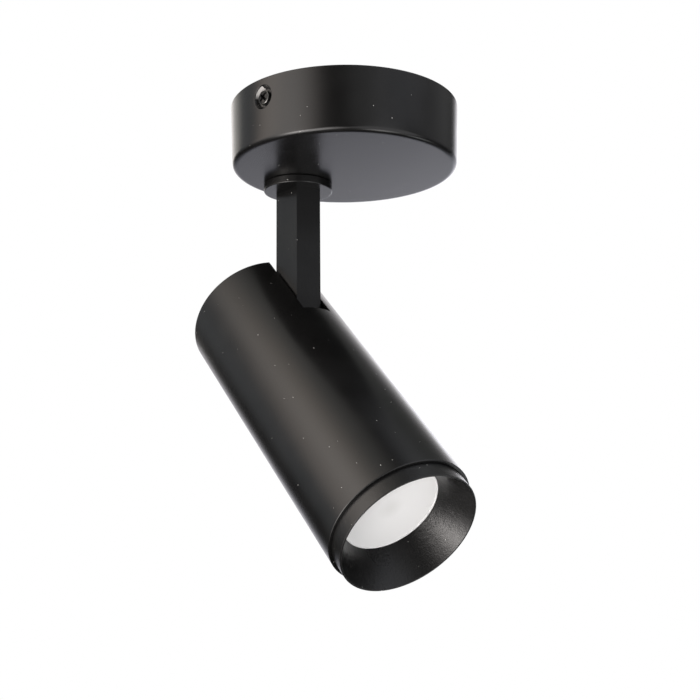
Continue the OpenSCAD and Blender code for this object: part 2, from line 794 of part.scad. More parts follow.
module pivot_bracket() {
    color(steel) in_head() difference() {
        union() {
            translate([-yoke_half, yoke_low, yoke_z]) cube([2 * yoke_half, yoke_high - yoke_low, yoke_t]);
            for (s = [0, 1]) mirror([s, 0, 0]) {
                translate([ear_in, pivot_off - ear_r, pivot_back])
                    cube([yoke_t, 2 * ear_r, yoke_z - pivot_back + eps]);
                translate([ear_in, pivot_off, pivot_back]) rotate([0, 90, 0]) cylinder(r = ear_r, h = yoke_t);
            }
        }
        translate([-ear_out - 1, pivot_off, pivot_back])
            rotate([0, 90, 0]) cylinder(d = bolt_d + 2 * fix_gap, h = 2 * ear_out + 2);
        at_yoke_screws() translate([0, 0, -1]) cylinder(d = small_screw_d + 0.4, h = yoke_t + 2);
    }
}

module bracket_screws() {
    color(zinc) in_head() at_yoke_screws() rotate([180, 0, 0])
        pan_screw(small_screw_d, yoke_t + sink_flange - 0.5, small_head_d, small_head_h);
}

module pivot_bolt() {
    len = 2 * ear_out + pivot_nut_h + 2;
    color(steel) on_pivot() difference() {
        union() {
            translate([0, 0, ear_out]) cylinder(d = bolt_head_d, h = bolt_head_h);
            translate([0, 0, ear_out - len]) cylinder(d = bolt_d, h = len + eps);
        }
        translate([0, 0, ear_out + bolt_head_h - 2.5]) cylinder(d = 0.55 * bolt_head_d, h = 3, $fn = 6);
    }
}

module friction_washers() {
    color(nylon) on_pivot() for (s = [0, 1]) mirror([0, 0, s])
        translate([0, 0, arm_breadth / 2 + run_gap]) ring(ear_r - 0.2, bolt_d / 2 + 0.1, friction_t);
}

module pivot_spring_washer() {
    color(steel) on_pivot() translate([0, 0, -ear_out]) mirror([0, 0, 1])
        disc_spring(bolt_head_d / 2 + 0.6, bolt_d / 2 + 0.1, 0.6, 0.4);
}

module pivot_nut() {
    color(zinc) on_pivot() translate([0, 0, -ear_out - 1 - pivot_nut_h])
        hex_nut(pivot_nut_af, pivot_nut_h, bolt_d + 2 * fix_gap);
}

module heat_sink() {
    z1 = sink_front - sink_plate;
    color(alloy) in_head() difference() {
        union() {
            translate([0, 0, sink_z]) cylinder(r = sink_flange_r, h = sink_flange);
            translate([0, 0, sink_z]) cylinder(d = core_d, h = sink_len);
            translate([0, 0, z1]) cylinder(r = sink_r, h = sink_plate);
            for (i = [0 : fin_n - 1]) rotate([0, 0, (i + 0.5) * 360 / fin_n])
                translate([core_d / 2 - 1, -fin_t / 2, sink_z + sink_flange - eps])
                    cube([sink_r - core_d / 2 + 0.6, fin_t, sink_len - sink_flange - sink_plate + 2 * eps]);
        }
        at_yoke_screws()
            translate([0, 0, yoke_t - eps]) cylinder(d = small_screw_d + 2 * fix_gap, h = sink_flange + 1);
        at_cap_screws()
            translate([0, 0, sink_z - 1]) cylinder(d = small_screw_d + 2 * fix_gap, h = sink_flange + 2);
        translate([0, -core_d / 2 - 5, z1 - 1]) cylinder(r = 2.5, h = sink_plate + 2);
        at_holder_screws() translate([0, 0, -4]) cylinder(d = small_screw_d + 2 * fix_gap, h = 5);
    }
}

module snap_ring() {
    gap = 8;
    color(steel) in_head() translate([0, 0, sink_front + fix_gap]) difference() {
        union() {
            ring(bore_r + snap_depth - 0.1, bore_r - 1.6, snap_t);
            for (s = [-1, 1]) rotate([0, 0, s * 12 - 90])
                translate([bore_r - 3, 0, 0]) cylinder(r = 2, h = snap_t);
        }
        translate([-gap / 2, -2 * bore_r, -1]) cube([gap, 2 * bore_r, snap_t + 2]);
        for (s = [-1, 1]) rotate([0, 0, s * 12 - 90])
            translate([bore_r - 3, 0, -1]) cylinder(r = 0.8, h = snap_t + 2);
    }
}

module thermal_pad() {
    side = board_side - 1;
    color([0.55, 0.57, 0.62])
        in_head()
            translate([-side / 2, -side / 2, sink_front])
                cube([side, side, pad_t]);
}

module light_board() {
    color([0.95, 0.95, 0.90]) in_head() translate([0, 0, board_z]) {
        translate([-board_side / 2, -board_side / 2, 0]) cube([board_side, board_side, board_t]);
        translate([0, 0, board_t - eps]) cylinder(d = spot_d, h = spot_h + eps);
    }
}

// Places children at the holder's two screws, on the heat sink's front face
module at_holder_screws() {
    for (s = [-1, 1]) translate([s * holder_screw_at, 0, sink_front]) children();
}

module board_holder() {
    pocket = board_side + 0.2;
    color(plastic_white) in_head() difference() {
        translate([0, 0, sink_front]) cylinder(d = holder_d, h = holder_h);
        translate([-pocket / 2, -pocket / 2, sink_front - 1]) cube([pocket, pocket, pad_t + board_t + 1.05]);
        translate([0, 0, sink_front]) cylinder(d = spot_d + 3, h = holder_h + 1);
        at_holder_screws() {
            translate([0, 0, -1]) cylinder(d = small_screw_d + 0.4, h = holder_h + 2);
            translate([0, 0, holder_h - small_head_h - 0.2]) cylinder(d = small_head_d + 0.4, h = 4);
        }
    }
}

module holder_screws() {
    color(zinc) in_head() at_holder_screws() translate([0, 0, holder_h - small_head_h - 0.2])
        pan_screw(small_screw_d, holder_h - small_head_h + 3, small_head_d, small_head_h);
}

// Radius of the reflector's inner face at t, from 0 at the light to 1 at the diffuser
function bowl_r(t) =
    sqrt(pow(reflector_in_r, 2) + t * (pow(reflector_out_r, 2) - pow(reflector_in_r, 2)));

module reflector() {
    l = diffuser_z - reflector_z;
    grow = (pow(reflector_out_r, 2) - pow(reflector_in_r, 2)) / (2 * l);
    inner = [for (i = [0 : reflector_steps]) let(t = i / reflector_steps) [bowl_r(t), reflector_z + t * l]];
    outer = [for (i = [reflector_steps : -1 : 0])
        let(t = i / reflector_steps, r = bowl_r(t))
        [r + reflector_wall * sqrt(1 + pow(grow / r, 2)), reflector_z + t * l]];
    lip_r = diffuser_r + 0.1;
    color(alloy) in_head() {
        rotate_extrude() polygon(concat(inner, outer));
        translate([0, 0, diffuser_z - reflector_rim_t])
            ring(reflector_rim_r, reflector_out_r + 0.2, reflector_rim_t);
        translate([0, 0, diffuser_z - eps]) ring(lip_r + 1.2, lip_r, diffuser_t - 0.3);
    }
}

module diffuser() {
    edge = 0.5;
    color([0.96, 0.96, 0.95, 0.9]) in_head() translate([0, 0, diffuser_z])
        rotate_extrude()
            polygon([[0, 0], [diffuser_r, 0], [diffuser_r, diffuser_t - edge],
                     [diffuser_r - edge, diffuser_t], [0, diffuser_t]]);
}

module ring_seal() {
    color(rubber) in_head() translate([0, 0, seal_z + seal_d / 2 + 0.1])
        rotate_extrude() translate([seal_r, 0]) circle(d = seal_d, $fn = 32);
}

module front_ring() {
    // Height at which the cone's back face runs into the skirt
    join_z = throat_z + (skirt_in_r - cone_back_r) / cone_slope;
    color(black) in_head() rotate_extrude()
        polygon([[throat_r, throat_z], [cone_back_r, throat_z], [skirt_in_r, join_z], [skirt_in_r, throat_z],
                 [ring_r, throat_z], [ring_r, seal_z], [seal_groove_r, seal_z],
                 [seal_groove_r, seal_z + seal_d + 0.2], [ring_r, seal_z + seal_d + 0.2],
                 [ring_r, ring_front - lip_bevel], [ring_r - lip_bevel, ring_front], [mouth_r, ring_front]]);
}

canopy();
mounting_bracket();
side_screws();
thrust_washer();
stop_pin();
driver_case();
driver_cover();
driver_board();
driver_screws();
terminal_block();
terminal_clamps();
terminal_screws();
block_screw();
earth_screw();
earth_washer();
swivel_collar();
collar_washer();
swivel_stem();
stop_washer();
spring_washer();
swivel_nut();
stem_bush();
arm();
housing_tube();
rear_cap();
cap_screws();
pivot_bracket();
bracket_screws();
pivot_bolt();
friction_washers();
pivot_spring_washer();
pivot_nut();
heat_sink();
snap_ring();
thermal_pad();
light_board();
board_holder();
holder_screws();
reflector();
diffuser();
ring_seal();
front_ring();
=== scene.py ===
# %% [markdown]
# # Dressing an adjustable ceiling spotlight
# The lamp hangs from a round canopy. An arm swivels under it and carries a long tube that tilts, and a
# deep black ring keeps the light out of the eyes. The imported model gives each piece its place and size.
# This lesson gives every piece its finish, and builds the seven that show most anew, with softer edges.

# %% Load the frame
import json
from math import atan2, cos, degrees, pi, radians, sin, sqrt, tan

import bmesh
import bpy
from mathutils import Matrix, Vector

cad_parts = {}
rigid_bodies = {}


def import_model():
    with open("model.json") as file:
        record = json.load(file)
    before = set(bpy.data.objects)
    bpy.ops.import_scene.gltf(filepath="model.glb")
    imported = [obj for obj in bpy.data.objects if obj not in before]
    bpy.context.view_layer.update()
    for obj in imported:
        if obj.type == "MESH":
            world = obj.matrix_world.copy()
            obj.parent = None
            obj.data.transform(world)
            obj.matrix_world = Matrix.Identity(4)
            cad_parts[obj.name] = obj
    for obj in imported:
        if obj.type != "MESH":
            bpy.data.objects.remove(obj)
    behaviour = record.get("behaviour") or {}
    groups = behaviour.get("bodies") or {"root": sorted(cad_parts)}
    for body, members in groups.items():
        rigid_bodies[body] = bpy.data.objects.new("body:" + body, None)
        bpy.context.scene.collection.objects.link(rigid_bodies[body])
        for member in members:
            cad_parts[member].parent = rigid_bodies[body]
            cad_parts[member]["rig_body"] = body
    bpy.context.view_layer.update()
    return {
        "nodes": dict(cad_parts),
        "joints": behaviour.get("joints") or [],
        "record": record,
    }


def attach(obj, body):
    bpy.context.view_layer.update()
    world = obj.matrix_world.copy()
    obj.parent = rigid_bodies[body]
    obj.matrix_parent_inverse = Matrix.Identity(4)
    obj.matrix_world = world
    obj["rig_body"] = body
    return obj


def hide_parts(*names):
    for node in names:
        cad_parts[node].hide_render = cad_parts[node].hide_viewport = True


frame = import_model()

nodes = frame["nodes"]
MM = 0.001

# %% [markdown]
# ## The camera
# The photograph was taken from below and a little to one side. The camera's place comes from a fit of the
# lamp's outlines: with a 61 mm lens it stands about half a metre away and looks up. All lights are placed
# from it later, so it comes first.

# %% Camera
camera_data = bpy.data.cameras.new("camera")
camera_data.lens = 61.41
camera_data.sensor_width = 36
camera = bpy.data.objects.new("camera", camera_data)
camera.location = (0.34039, -0.36992, -0.19890)
camera.rotation_euler = (radians(100.267), radians(0.547), radians(42.544))
bpy.context.scene.collection.objects.link(camera)
bpy.context.scene.camera = camera

target = Vector((0, 0, -0.1))
to_camera = Vector((camera.location.x, camera.location.y, 0)).normalized()
print(f"the camera stands {(camera.location - target).length:.3f} m away")

# %% [markdown]
# ## Places on the lamp
# The arm turns about a vertical axis, and the tube about a level bolt through the arm's lower end. Both
# turns are stored in the joints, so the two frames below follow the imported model. In the head's frame, X
# goes across the tube's slot, Y points at the slot, and Z runs along the tube from its rear end.

# %% Frames of the arm and the head
joints = {joint["name"]: joint for joint in frame["joints"]}
swivel_at = Vector(joints["swivel"]["pos_m"])
pivot_at = Vector(joints["tilt"]["pos_m"])
tilt_axis = joints["tilt"]["axis"]
yaw = atan2(tilt_axis[0], -tilt_axis[1])
tilt = -radians(joints["tilt"]["range_deg"][0])
PIVOT_BACK = 29.2
PIVOT_OFF = 18.4

on_ceiling = Matrix.Identity(4)
on_swivel = Matrix.Translation((swivel_at.x, swivel_at.y, 0)) @ Matrix.Rotation(yaw, 4, "Z")
in_head = (
    Matrix.Translation(pivot_at)
    @ Matrix.Rotation(yaw, 4, "Z")
    @ Matrix.Rotation(-tilt, 4, "Y")
    @ Matrix.Rotation(pi / 2, 4, "Z")
    @ Matrix.Rotation(pi, 4, "X")
    @ Matrix.Translation((0, -PIVOT_OFF * MM, -PIVOT_BACK * MM))
)


def size_in(place, node):
    """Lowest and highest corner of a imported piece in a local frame, in millimetres."""
    back = place.inverted()
    points = [back @ vertex.co / MM for vertex in nodes[node].data.vertices]
    low = Vector([min(p[i] for p in points) for i in range(3)])
    high = Vector([max(p[i] for p in points) for i in range(3)])
    return low, high


print(f"the arm is turned by {degrees(yaw):.1f} degrees and the tube tilted by {degrees(tilt):.1f}")

# %% [markdown]
# ## Tools for turned and rounded pieces
# Almost everything on this lamp is turned on a lathe or cut from bar. A turned piece is an outline swept
# round an axis. It could be a screw modifier on a curve, but a short function keeps the number of segments
# and the rounded corners in one place. A `Net` collects rings of points and the faces between them.

# %% Outlines with rounded corners
ARC_STEPS = 4


def rounded(corners):
    """A closed outline from corners (x, y, radius), where each corner with a radius becomes an arc."""
    outline = []
    for i, (x, y, radius) in enumerate(corners):
        here = Vector((x, y))
        if radius == 0:
            outline.append((x, y))
            continue
        before = (Vector(corners[i - 1][:2]) - here).normalized()
        after = (Vector(corners[(i + 1) % len(corners)][:2]) - here).normalized()
        half = before.angle(after) / 2
        centre = here + (before + after).normalized() * radius / sin(half)
        start = here + before * radius / tan(half) - centre
        end = here + after * radius / tan(half) - centre
        turn = start.angle(end)
        for k in range(ARC_STEPS + 1):
            share = k / ARC_STEPS
            spoke = (start * sin((1 - share) * turn) + end * sin(share * turn)) / sin(turn)
            outline.append(tuple(centre + spoke))
    return outline


# %% A net of rings
class Net:
    """Points in millimetres and faces, gathered ring by ring."""

    def __init__(self):
        self.points = []
        self.faces = []

    def ring(self, points):
        first = len(self.points)
        self.points += [tuple(p) for p in points]
        return list(range(first, len(self.points)))

    def bridge(self, a, b, closed=True):
        count = len(a)
        for i in range(count if closed else count - 1):
            j = (i + 1) % count
            self.faces.append((a[i], a[j], b[j], b[i]))

    def fan(self, ring, tip):
        centre = self.ring([tip])[0]
        for i in range(len(ring)):
            self.faces.append((ring[i], ring[(i + 1) % len(ring)], centre))


# %% Pieces from nets
SAME_POINT = 1e-7


def make_piece(name, net, place=on_ceiling):
    """An object from a net: doubles welded, faces turned outwards, in the part's frame."""
    mesh = bpy.data.meshes.new(name)
    mesh.from_pydata([place @ (Vector(p) * MM) for p in net.points], [], net.faces)
    shape = bmesh.new()
    shape.from_mesh(mesh)
    bmesh.ops.remove_doubles(shape, verts=shape.verts, dist=SAME_POINT)
    bmesh.ops.recalc_face_normals(shape, faces=shape.faces)
    shape.to_mesh(mesh)
    shape.free()
    mesh.shade_smooth()
    piece = bpy.data.objects.new(name, mesh)
    bpy.context.scene.collection.objects.link(piece)
    return piece


def circle(radius, height, steps):
    """Points round the local Z axis."""
    turns = [2 * pi * i / steps for i in range(steps)]
    return [(radius * cos(turn), radius * sin(turn), height) for turn in turns]


def turned(name, outline, place, steps):
    """A solid swept from a closed outline of (radius, height) round the local Z axis."""
    net = Net()
    rings = [net.ring(circle(radius, height, steps)) for radius, height in outline]
    for a, b in zip(rings, rings[1:] + rings[:1]):
        net.bridge(a, b)
    return make_piece(name, net, place)


# %% [markdown]
# ## Cutting, joining and softening
# Slots and holes are cut as on the bench, by plain rods and blocks in a Boolean. A machined edge is never
# quite sharp, and it is its small highlight that makes it look real. So a Bevel rounds the hard edges, and
# weighted normals keep the large faces flat beside it.

# %% Cutting and joining
ROD_STEPS = 48


def bake(piece):
    """Writes the modifiers' result into the mesh."""
    depsgraph = bpy.context.evaluated_depsgraph_get()
    piece.data = bpy.data.meshes.new_from_object(piece.evaluated_get(depsgraph))
    piece.modifiers.clear()


def combine(piece, others, operation):
    """Cuts the others out of the piece, or joins them to it."""
    for other in others:
        step = piece.modifiers.new(operation.lower(), "BOOLEAN")
        step.operation = operation
        step.solver = "EXACT"
        step.object = other
    bake(piece)
    for other in others:
        bpy.data.objects.remove(other)


def rod(radius, low, high, place):
    """A plain cylinder along the local Z axis, used for bosses and to cut holes."""
    net = Net()
    ends = [net.ring(circle(radius, height, ROD_STEPS)) for height in (low, high)]
    net.bridge(*ends)
    net.faces += [tuple(end) for end in ends]
    return make_piece("rod", net, place)


def block(low, high, place):
    """A plain box between two corners, used to cut slots and pockets."""
    net = Net()
    (x0, y0, z0), (x1, y1, z1) = low, high
    ends = [net.ring([(x0, y0, z), (x1, y0, z), (x1, y1, z), (x0, y1, z)]) for z in (z0, z1)]
    net.bridge(*ends)
    net.faces += [tuple(end) for end in ends]
    return make_piece("block", net, place)


# %% Softening
HARD_EDGE = radians(35)
SPLIT_EDGE = radians(40)
FACE_WEIGHT = 80


def soften(piece, width, segments):
    """Rounds the hard edges, and keeps the flat faces flat in the shading."""
    bevel = piece.modifiers.new("rounded edges", "BEVEL")
    bevel.width = width * MM
    bevel.segments = segments
    bevel.limit_method = "ANGLE"
    bevel.angle_limit = HARD_EDGE
    flat_shading(piece)


def flat_shading(piece, sharp=False):
    """Normals follow the large faces. With sharp, hard edges also split the shading."""
    if sharp:
        piece.data.set_sharp_from_angle(angle=SPLIT_EDGE)
    normals = piece.modifiers.new("even shading", "WEIGHTED_NORMAL")
    normals.mode = "FACE_AREA"
    normals.weight = FACE_WEIGHT
    normals.keep_sharp = sharp


# %% Fitting a piece to its node
def fit(piece, node, material):
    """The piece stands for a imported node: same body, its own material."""
    piece.data.materials.clear()
    piece.data.materials.append(material)
    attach(piece, nodes[node]["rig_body"])
    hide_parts(node)
    print(f"{piece.name}: {len(piece.data.polygons)} faces for {node}")


# %% [markdown]
# ## Node tools
# Every finish is a procedural material. Wiring its nodes by hand would take hundreds of lines, so short
# functions do it: one adds a node with its sockets filled in, the next ones calculate and blend, and the
# last ones start a shader node group with named inputs and outputs, and place it in a material.

# %% Node helpers
def add(tree, kind, sockets=None, **settings):
    """A new node. A socket's value is a number, a colour or another node's output."""
    made = tree.nodes.new("ShaderNode" + kind)
    for name, value in settings.items():
        setattr(made, name, value)
    for key, value in (sockets or {}).items():
        if isinstance(value, bpy.types.NodeSocket):
            tree.links.new(value, made.inputs[key])
        else:
            made.inputs[key].default_value = value
    return made


def calculate(tree, operation, a, b=0.0, c=0.0):
    """What one Math node gives for up to three values."""
    return add(tree, "Math", {0: a, 1: b, 2: c}, operation=operation).outputs[0]


def remap(tree, value, low, high, out_low, out_high):
    """A value moved from one range to another, held at the ends."""
    sockets = {"Value": value, 1: low, 2: high, 3: out_low, 4: out_high}
    return add(tree, "MapRange", sockets).outputs[0]


def blend(tree, share, a, b):
    """A colour between a and b."""
    return add(tree, "Mix", {0: share, 6: a, 7: b}, data_type="RGBA").outputs[2]


def shaded(colour, factor):
    """A colour made darker or lighter, with an alpha of 1."""
    return [factor * c for c in colour] + [1.0]


# %% Group helpers
def new_group(name, inputs, outputs):
    """An empty node group with float inputs (name: value) and float outputs (names)."""
    group = bpy.data.node_groups.new(name, "ShaderNodeTree")
    for label, value in inputs.items():
        socket = group.interface.new_socket(label, in_out="INPUT", socket_type="NodeSocketFloat")
        socket.default_value = value
    for label in outputs:
        group.interface.new_socket(label, in_out="OUTPUT", socket_type="NodeSocketFloat")
    start = group.nodes.new("NodeGroupInput")
    end = group.nodes.new("NodeGroupOutput")
    return group, start.outputs, end.inputs


def place_group(tree, group, **values):
    """The group as a node in a material. An underscore in a name stands for a space."""
    made = tree.nodes.new("ShaderNodeGroup")
    made.node_tree = group
    for name, value in values.items():
        made.inputs[name.replace("_", " ")].default_value = value
    return made


def per_mm(tree, size):
    """The texture scale at which one feature is size millimetres wide."""
    return calculate(tree, "DIVIDE", 1 / MM, size)


# %% [markdown]
# ## Grain, dust, mottle and brushing
# Powder coat isn't smooth: it has fine grains on a slow orange peel, and a few specks of dust settle on it.
# Mottle makes any finish a little uneven, and rolled or turned metal has fine lines. Each effect is built
# once, as a node group, and most are used by several finishes. The groups work in object coordinates,
# which stay with the piece when a joint moves, and take their sizes in millimetres.

# %% Grain group
sizes = {"Grain mm": 0.5, "Peel mm": 2.5, "Peel share": 0.5}
grain, given, result = new_group("Powder grain", sizes, ["Height"])
spot = add(grain, "TexCoord").outputs["Object"]
fine = add(grain, "TexNoise", {"Vector": spot, "Scale": per_mm(grain, given["Grain mm"]), "Detail": 2.0})
peel = add(grain, "TexNoise", {"Vector": spot, "Scale": per_mm(grain, given["Peel mm"]), "Detail": 1.0})
mixed = add(grain, "Mix", {0: given["Peel share"], 2: fine.outputs[0], 3: peel.outputs[0]})
grain.links.new(mixed.outputs[0], result["Height"])

# %% Dust group
dust, given, result = new_group("Dust specks", {"Spacing mm": 3.4, "Speck mm": 0.3, "Share": 0.5}, ["Mask"])
spot = add(dust, "TexCoord").outputs["Object"]
scale = per_mm(dust, given["Spacing mm"])
cells = add(dust, "TexVoronoi", {"Vector": spot, "Scale": scale, "Randomness": 1.0})
reach = calculate(dust, "MULTIPLY", cells.outputs["Distance"], given["Spacing mm"])
luck = add(dust, "SeparateColor", {0: cells.outputs["Color"]})
size = calculate(dust, "MULTIPLY", given["Speck mm"], calculate(dust, "ADD", 0.4, luck.outputs[1]))
near = calculate(dust, "LESS_THAN", reach, calculate(dust, "MULTIPLY", size, 0.5))
kept = calculate(dust, "LESS_THAN", luck.outputs[0], given["Share"])
dust.links.new(calculate(dust, "MULTIPLY", near, kept), result["Mask"])

# %% Mottle group
mottle, given, result = new_group("Mottle", {"Size mm": 12.0, "Contrast": 0.5}, ["Value"])
spot = add(mottle, "TexCoord").outputs["Object"]
cloud = add(mottle, "TexNoise", {"Vector": spot, "Scale": per_mm(mottle, given["Size mm"]), "Detail": 3.0})
half = calculate(mottle, "MULTIPLY", given["Contrast"], 0.5)
low = calculate(mottle, "SUBTRACT", 0.5, half)
high = calculate(mottle, "ADD", 0.5, half)
spread = add(mottle, "MapRange", {"Value": cloud.outputs[0], 1: 0.3, 2: 0.7, 3: low, 4: high})
mottle.links.new(spread.outputs[0], result["Value"])

# %% Brushed lines group
brushed, given, result = new_group("Brushed lines", {"Line mm": 0.15, "Length mm": 6.0}, ["Height"])
spot = add(brushed, "TexCoord").outputs["Object"]
across = add(brushed, "SeparateXYZ", {0: spot})
fine_scale = per_mm(brushed, given["Line mm"])
long_scale = per_mm(brushed, given["Length mm"])
stretched = add(brushed, "CombineXYZ", {
    0: calculate(brushed, "MULTIPLY", across.outputs[0], fine_scale),
    1: calculate(brushed, "MULTIPLY", across.outputs[1], long_scale),
    2: calculate(brushed, "MULTIPLY", across.outputs[2], fine_scale),
})
lines = add(brushed, "TexNoise", {"Vector": stretched.outputs[0], "Scale": 1.0, "Detail": 2.0})
brushed.links.new(lines.outputs[0], result["Height"])
print("node groups:", ", ".join(g.name for g in bpy.data.node_groups))


# %% [markdown]
# ## A base for every material
# A finish here is one Principled BSDF. What stays the same all over a surface, such as how metallic it is,
# is set on the shader's own socket. What changes over the surface, such as colour and roughness, comes from
# the groups. The helper starts the material and hands back its tree and its shader.

# %% Start a material
def new_material(name, **sockets):
    """A node material with a Principled BSDF, whose sockets take the plain values given."""
    material = bpy.data.materials.new(name)
    material.use_nodes = True
    tree = material.node_tree
    shader = tree.nodes["Principled BSDF"]
    for label, value in sockets.items():
        shader.inputs[label.replace("_", " ")].default_value = value
    return material, tree, shader


def bump(tree, shader, height, depth):
    """Feeds a height in 0 to 1 into the shader's normal. The depth is in millimetres."""
    made = add(tree, "Bump", {"Height": height, "Distance": depth * MM, "Strength": 1.0})
    tree.links.new(made.outputs[0], shader.inputs["Normal"])


# %% [markdown]
# ## The black finishes
# Canopy, arm and tube carry a satin black powder coat. It is so dark that nearly all it shows is
# reflection, in wide soft highlights, and a roughness of about 0.25 gives their width. The front ring's
# coat is coarser: its grains stand far higher, and make the cone look sandy where it catches the light.
# Both coats have pale specks of dust, which don't shine.

# %% Powder coat
BLACK = (0.006, 0.006, 0.006)
DUST_COLOUR = (0.45, 0.45, 0.43, 1.0)
DUST_ROUGHNESS = 0.9
# Pale colour of the painted highlight on the dimples' walls.
DIMPLE_HIGHLIGHT = (0.52, 0.51, 0.50, 1.0)
ROUGH_SWING = 0.025


def powder_coat(name, colour, roughness, grain_mm, grain_depth, specks, highlight_mask=None):
    """A black coat. Where the mask that highlight_mask builds is 1, a pale painted highlight shows."""
    material, tree, shader = new_material(name, IOR=1.5)
    cloud = place_group(tree, mottle, Size_mm=14.0, Contrast=0.8).outputs[0]
    speck = place_group(tree, dust, Share=specks).outputs[0]
    paint = blend(tree, cloud, shaded(colour, 0.85), shaded(colour, 1.25))
    paint = blend(tree, speck, paint, DUST_COLOUR)
    if highlight_mask:
        paint = blend(tree, highlight_mask(tree), paint, DIMPLE_HIGHLIGHT)
    tree.links.new(paint, shader.inputs["Base Color"])
    rough = remap(tree, cloud, 0.0, 1.0, roughness - ROUGH_SWING, roughness + ROUGH_SWING)
    dull = calculate(tree, "MULTIPLY", speck, DUST_ROUGHNESS)
    tree.links.new(calculate(tree, "MAXIMUM", rough, dull), shader.inputs["Roughness"])
    grains = place_group(tree, grain, Grain_mm=grain_mm, Peel_mm=2.5, Peel_share=0.45).outputs[0]
    bump(tree, shader, grains, grain_depth)
    return material


PAINT = {"colour": BLACK, "roughness": 0.25, "grain_mm": 0.35, "grain_depth": 0.003, "specks": 0.6}
black_paint = powder_coat("black_paint", **PAINT)
black_ring = powder_coat("black_ring", BLACK, roughness=0.29, grain_mm=0.5, grain_depth=0.16, specks=0.5)
print("coats:", black_paint.name, "and", black_ring.name)

# %% [markdown]
# ## Metals inside
# The bracket and most screws are zinc plated, the hinge and its washers are plain spring steel, the earth
# screw and the clamps are brass, the cooler is cast alloy and the reflector is polished. They differ in
# colour, in roughness and in the marks on them: fine lines on plain steel and brass, grain on the others.

# %% Metal finishes
def metal(name, colour, rough, marks, depth, **values):
    """Bare metal with the marks of one group. Rough holds the lowest and highest roughness."""
    material, tree, shader = new_material(name, Metallic=1.0)
    cloud = place_group(tree, mottle, Size_mm=5.0, Contrast=0.9).outputs[0]
    uneven = blend(tree, cloud, shaded(colour, 0.8), shaded(colour, 1.0))
    tree.links.new(uneven, shader.inputs["Base Color"])
    tree.links.new(remap(tree, cloud, 0.0, 1.0, *rough), shader.inputs["Roughness"])
    bump(tree, shader, place_group(tree, marks, **values).outputs[0], depth)
    return material


zinc_steel = metal("zinc_steel", (0.66, 0.655, 0.62), (0.28, 0.42), grain, depth=0.008, Grain_mm=0.4)
spring_steel = metal("spring_steel", (0.50, 0.50, 0.51), (0.26, 0.40), brushed, depth=0.006)
brass = metal("brass", (0.78, 0.57, 0.27), (0.22, 0.36), brushed, depth=0.005)
cast_alloy = metal("cast_alloy", (0.70, 0.71, 0.72), (0.42, 0.60), grain, depth=0.03, Grain_mm=0.7)
bright_alloy = metal("bright_alloy", (0.90, 0.90, 0.91), (0.10, 0.18), grain, depth=0.003, Grain_mm=0.9)

# %% [markdown]
# ## Plastics, rubber and boards
# Moulded plastic has a faint spark-eroded texture and no metal in it. The same recipe with other colours
# and depths gives the nylon washers, the driver's case, the rubber seal and the grey heat pad. The circuit
# board gets a grid of paler tracks, and the light source a yellow coat.

# %% Moulded finishes
def moulded(name, colour, rough, grain_mm, depth):
    """Matt plastic or rubber. Rough holds the lowest and highest roughness."""
    material, tree, shader = new_material(name)
    cloud = place_group(tree, mottle, Size_mm=9.0, Contrast=0.7).outputs[0]
    uneven = blend(tree, cloud, shaded(colour, 0.9), shaded(colour, 1.0))
    tree.links.new(uneven, shader.inputs["Base Color"])
    tree.links.new(remap(tree, cloud, 0.0, 1.0, *rough), shader.inputs["Roughness"])
    bump(tree, shader, place_group(tree, grain, Grain_mm=grain_mm).outputs[0], depth)
    return material


nylon = moulded("nylon", (0.82, 0.80, 0.74), (0.38, 0.50), grain_mm=0.5, depth=0.006)
white_plastic = moulded("white_plastic", (0.80, 0.80, 0.78), (0.40, 0.52), grain_mm=0.35, depth=0.012)
black_rubber = moulded("black_rubber", (0.018, 0.018, 0.018), (0.62, 0.78), grain_mm=0.4, depth=0.010)
grey_pad = moulded("grey_pad", (0.36, 0.38, 0.41), (0.70, 0.85), grain_mm=0.6, depth=0.020)
light_source = moulded("light_source", (0.85, 0.76, 0.38), (0.35, 0.45), grain_mm=0.6, depth=0.010)

# %% Circuit board
BOARD_SCALE = 260.0
TRACK_W = 0.03


def circuit_board():
    """Green lacquer over a grid of tracks."""
    material, tree, shader = new_material("board_green", Coat_Weight=0.3)
    spot = add(tree, "TexCoord").outputs["Object"]
    tracks = add(tree, "TexBrick", {"Vector": spot, "Scale": BOARD_SCALE, "Mortar Size": TRACK_W})
    tracks.inputs["Color1"].default_value = (0.02, 0.12, 0.05, 1.0)
    tracks.inputs["Color2"].default_value = (0.03, 0.15, 0.06, 1.0)
    tracks.inputs["Mortar"].default_value = (0.08, 0.26, 0.12, 1.0)
    tree.links.new(tracks.outputs["Color"], shader.inputs["Base Color"])
    cloud = place_group(tree, mottle, Size_mm=4.0, Contrast=0.8).outputs[0]
    tree.links.new(remap(tree, cloud, 0.0, 1.0, 0.3, 0.45), shader.inputs["Roughness"])
    bump(tree, shader, tracks.outputs["Fac"], 0.02)
    return material


board_green = circuit_board()
print(len(bpy.data.materials), "materials so far")

# %% [markdown]
# ## The opal disc
# The disc behind the ring's throat is frosted white. It is lit by what falls into the ring, and a little
# light passes through it, so it looks nearly even. A faint shade over the light source at its middle is
# painted into its colour.

# %% Opal
disc_low, disc_high = size_in(in_head, "diffuser")
OPAL = (0.93, 0.93, 0.925, 1.0)
# Grey of the painted shade over the light source, fading out from the disc's middle.
PAINTED_SHADE = (0.85, 0.85, 0.84, 1.0)
SHADE_FROM = 1.0
SHADE_TO = 6.0
LIGHT_PASSES = 2.0


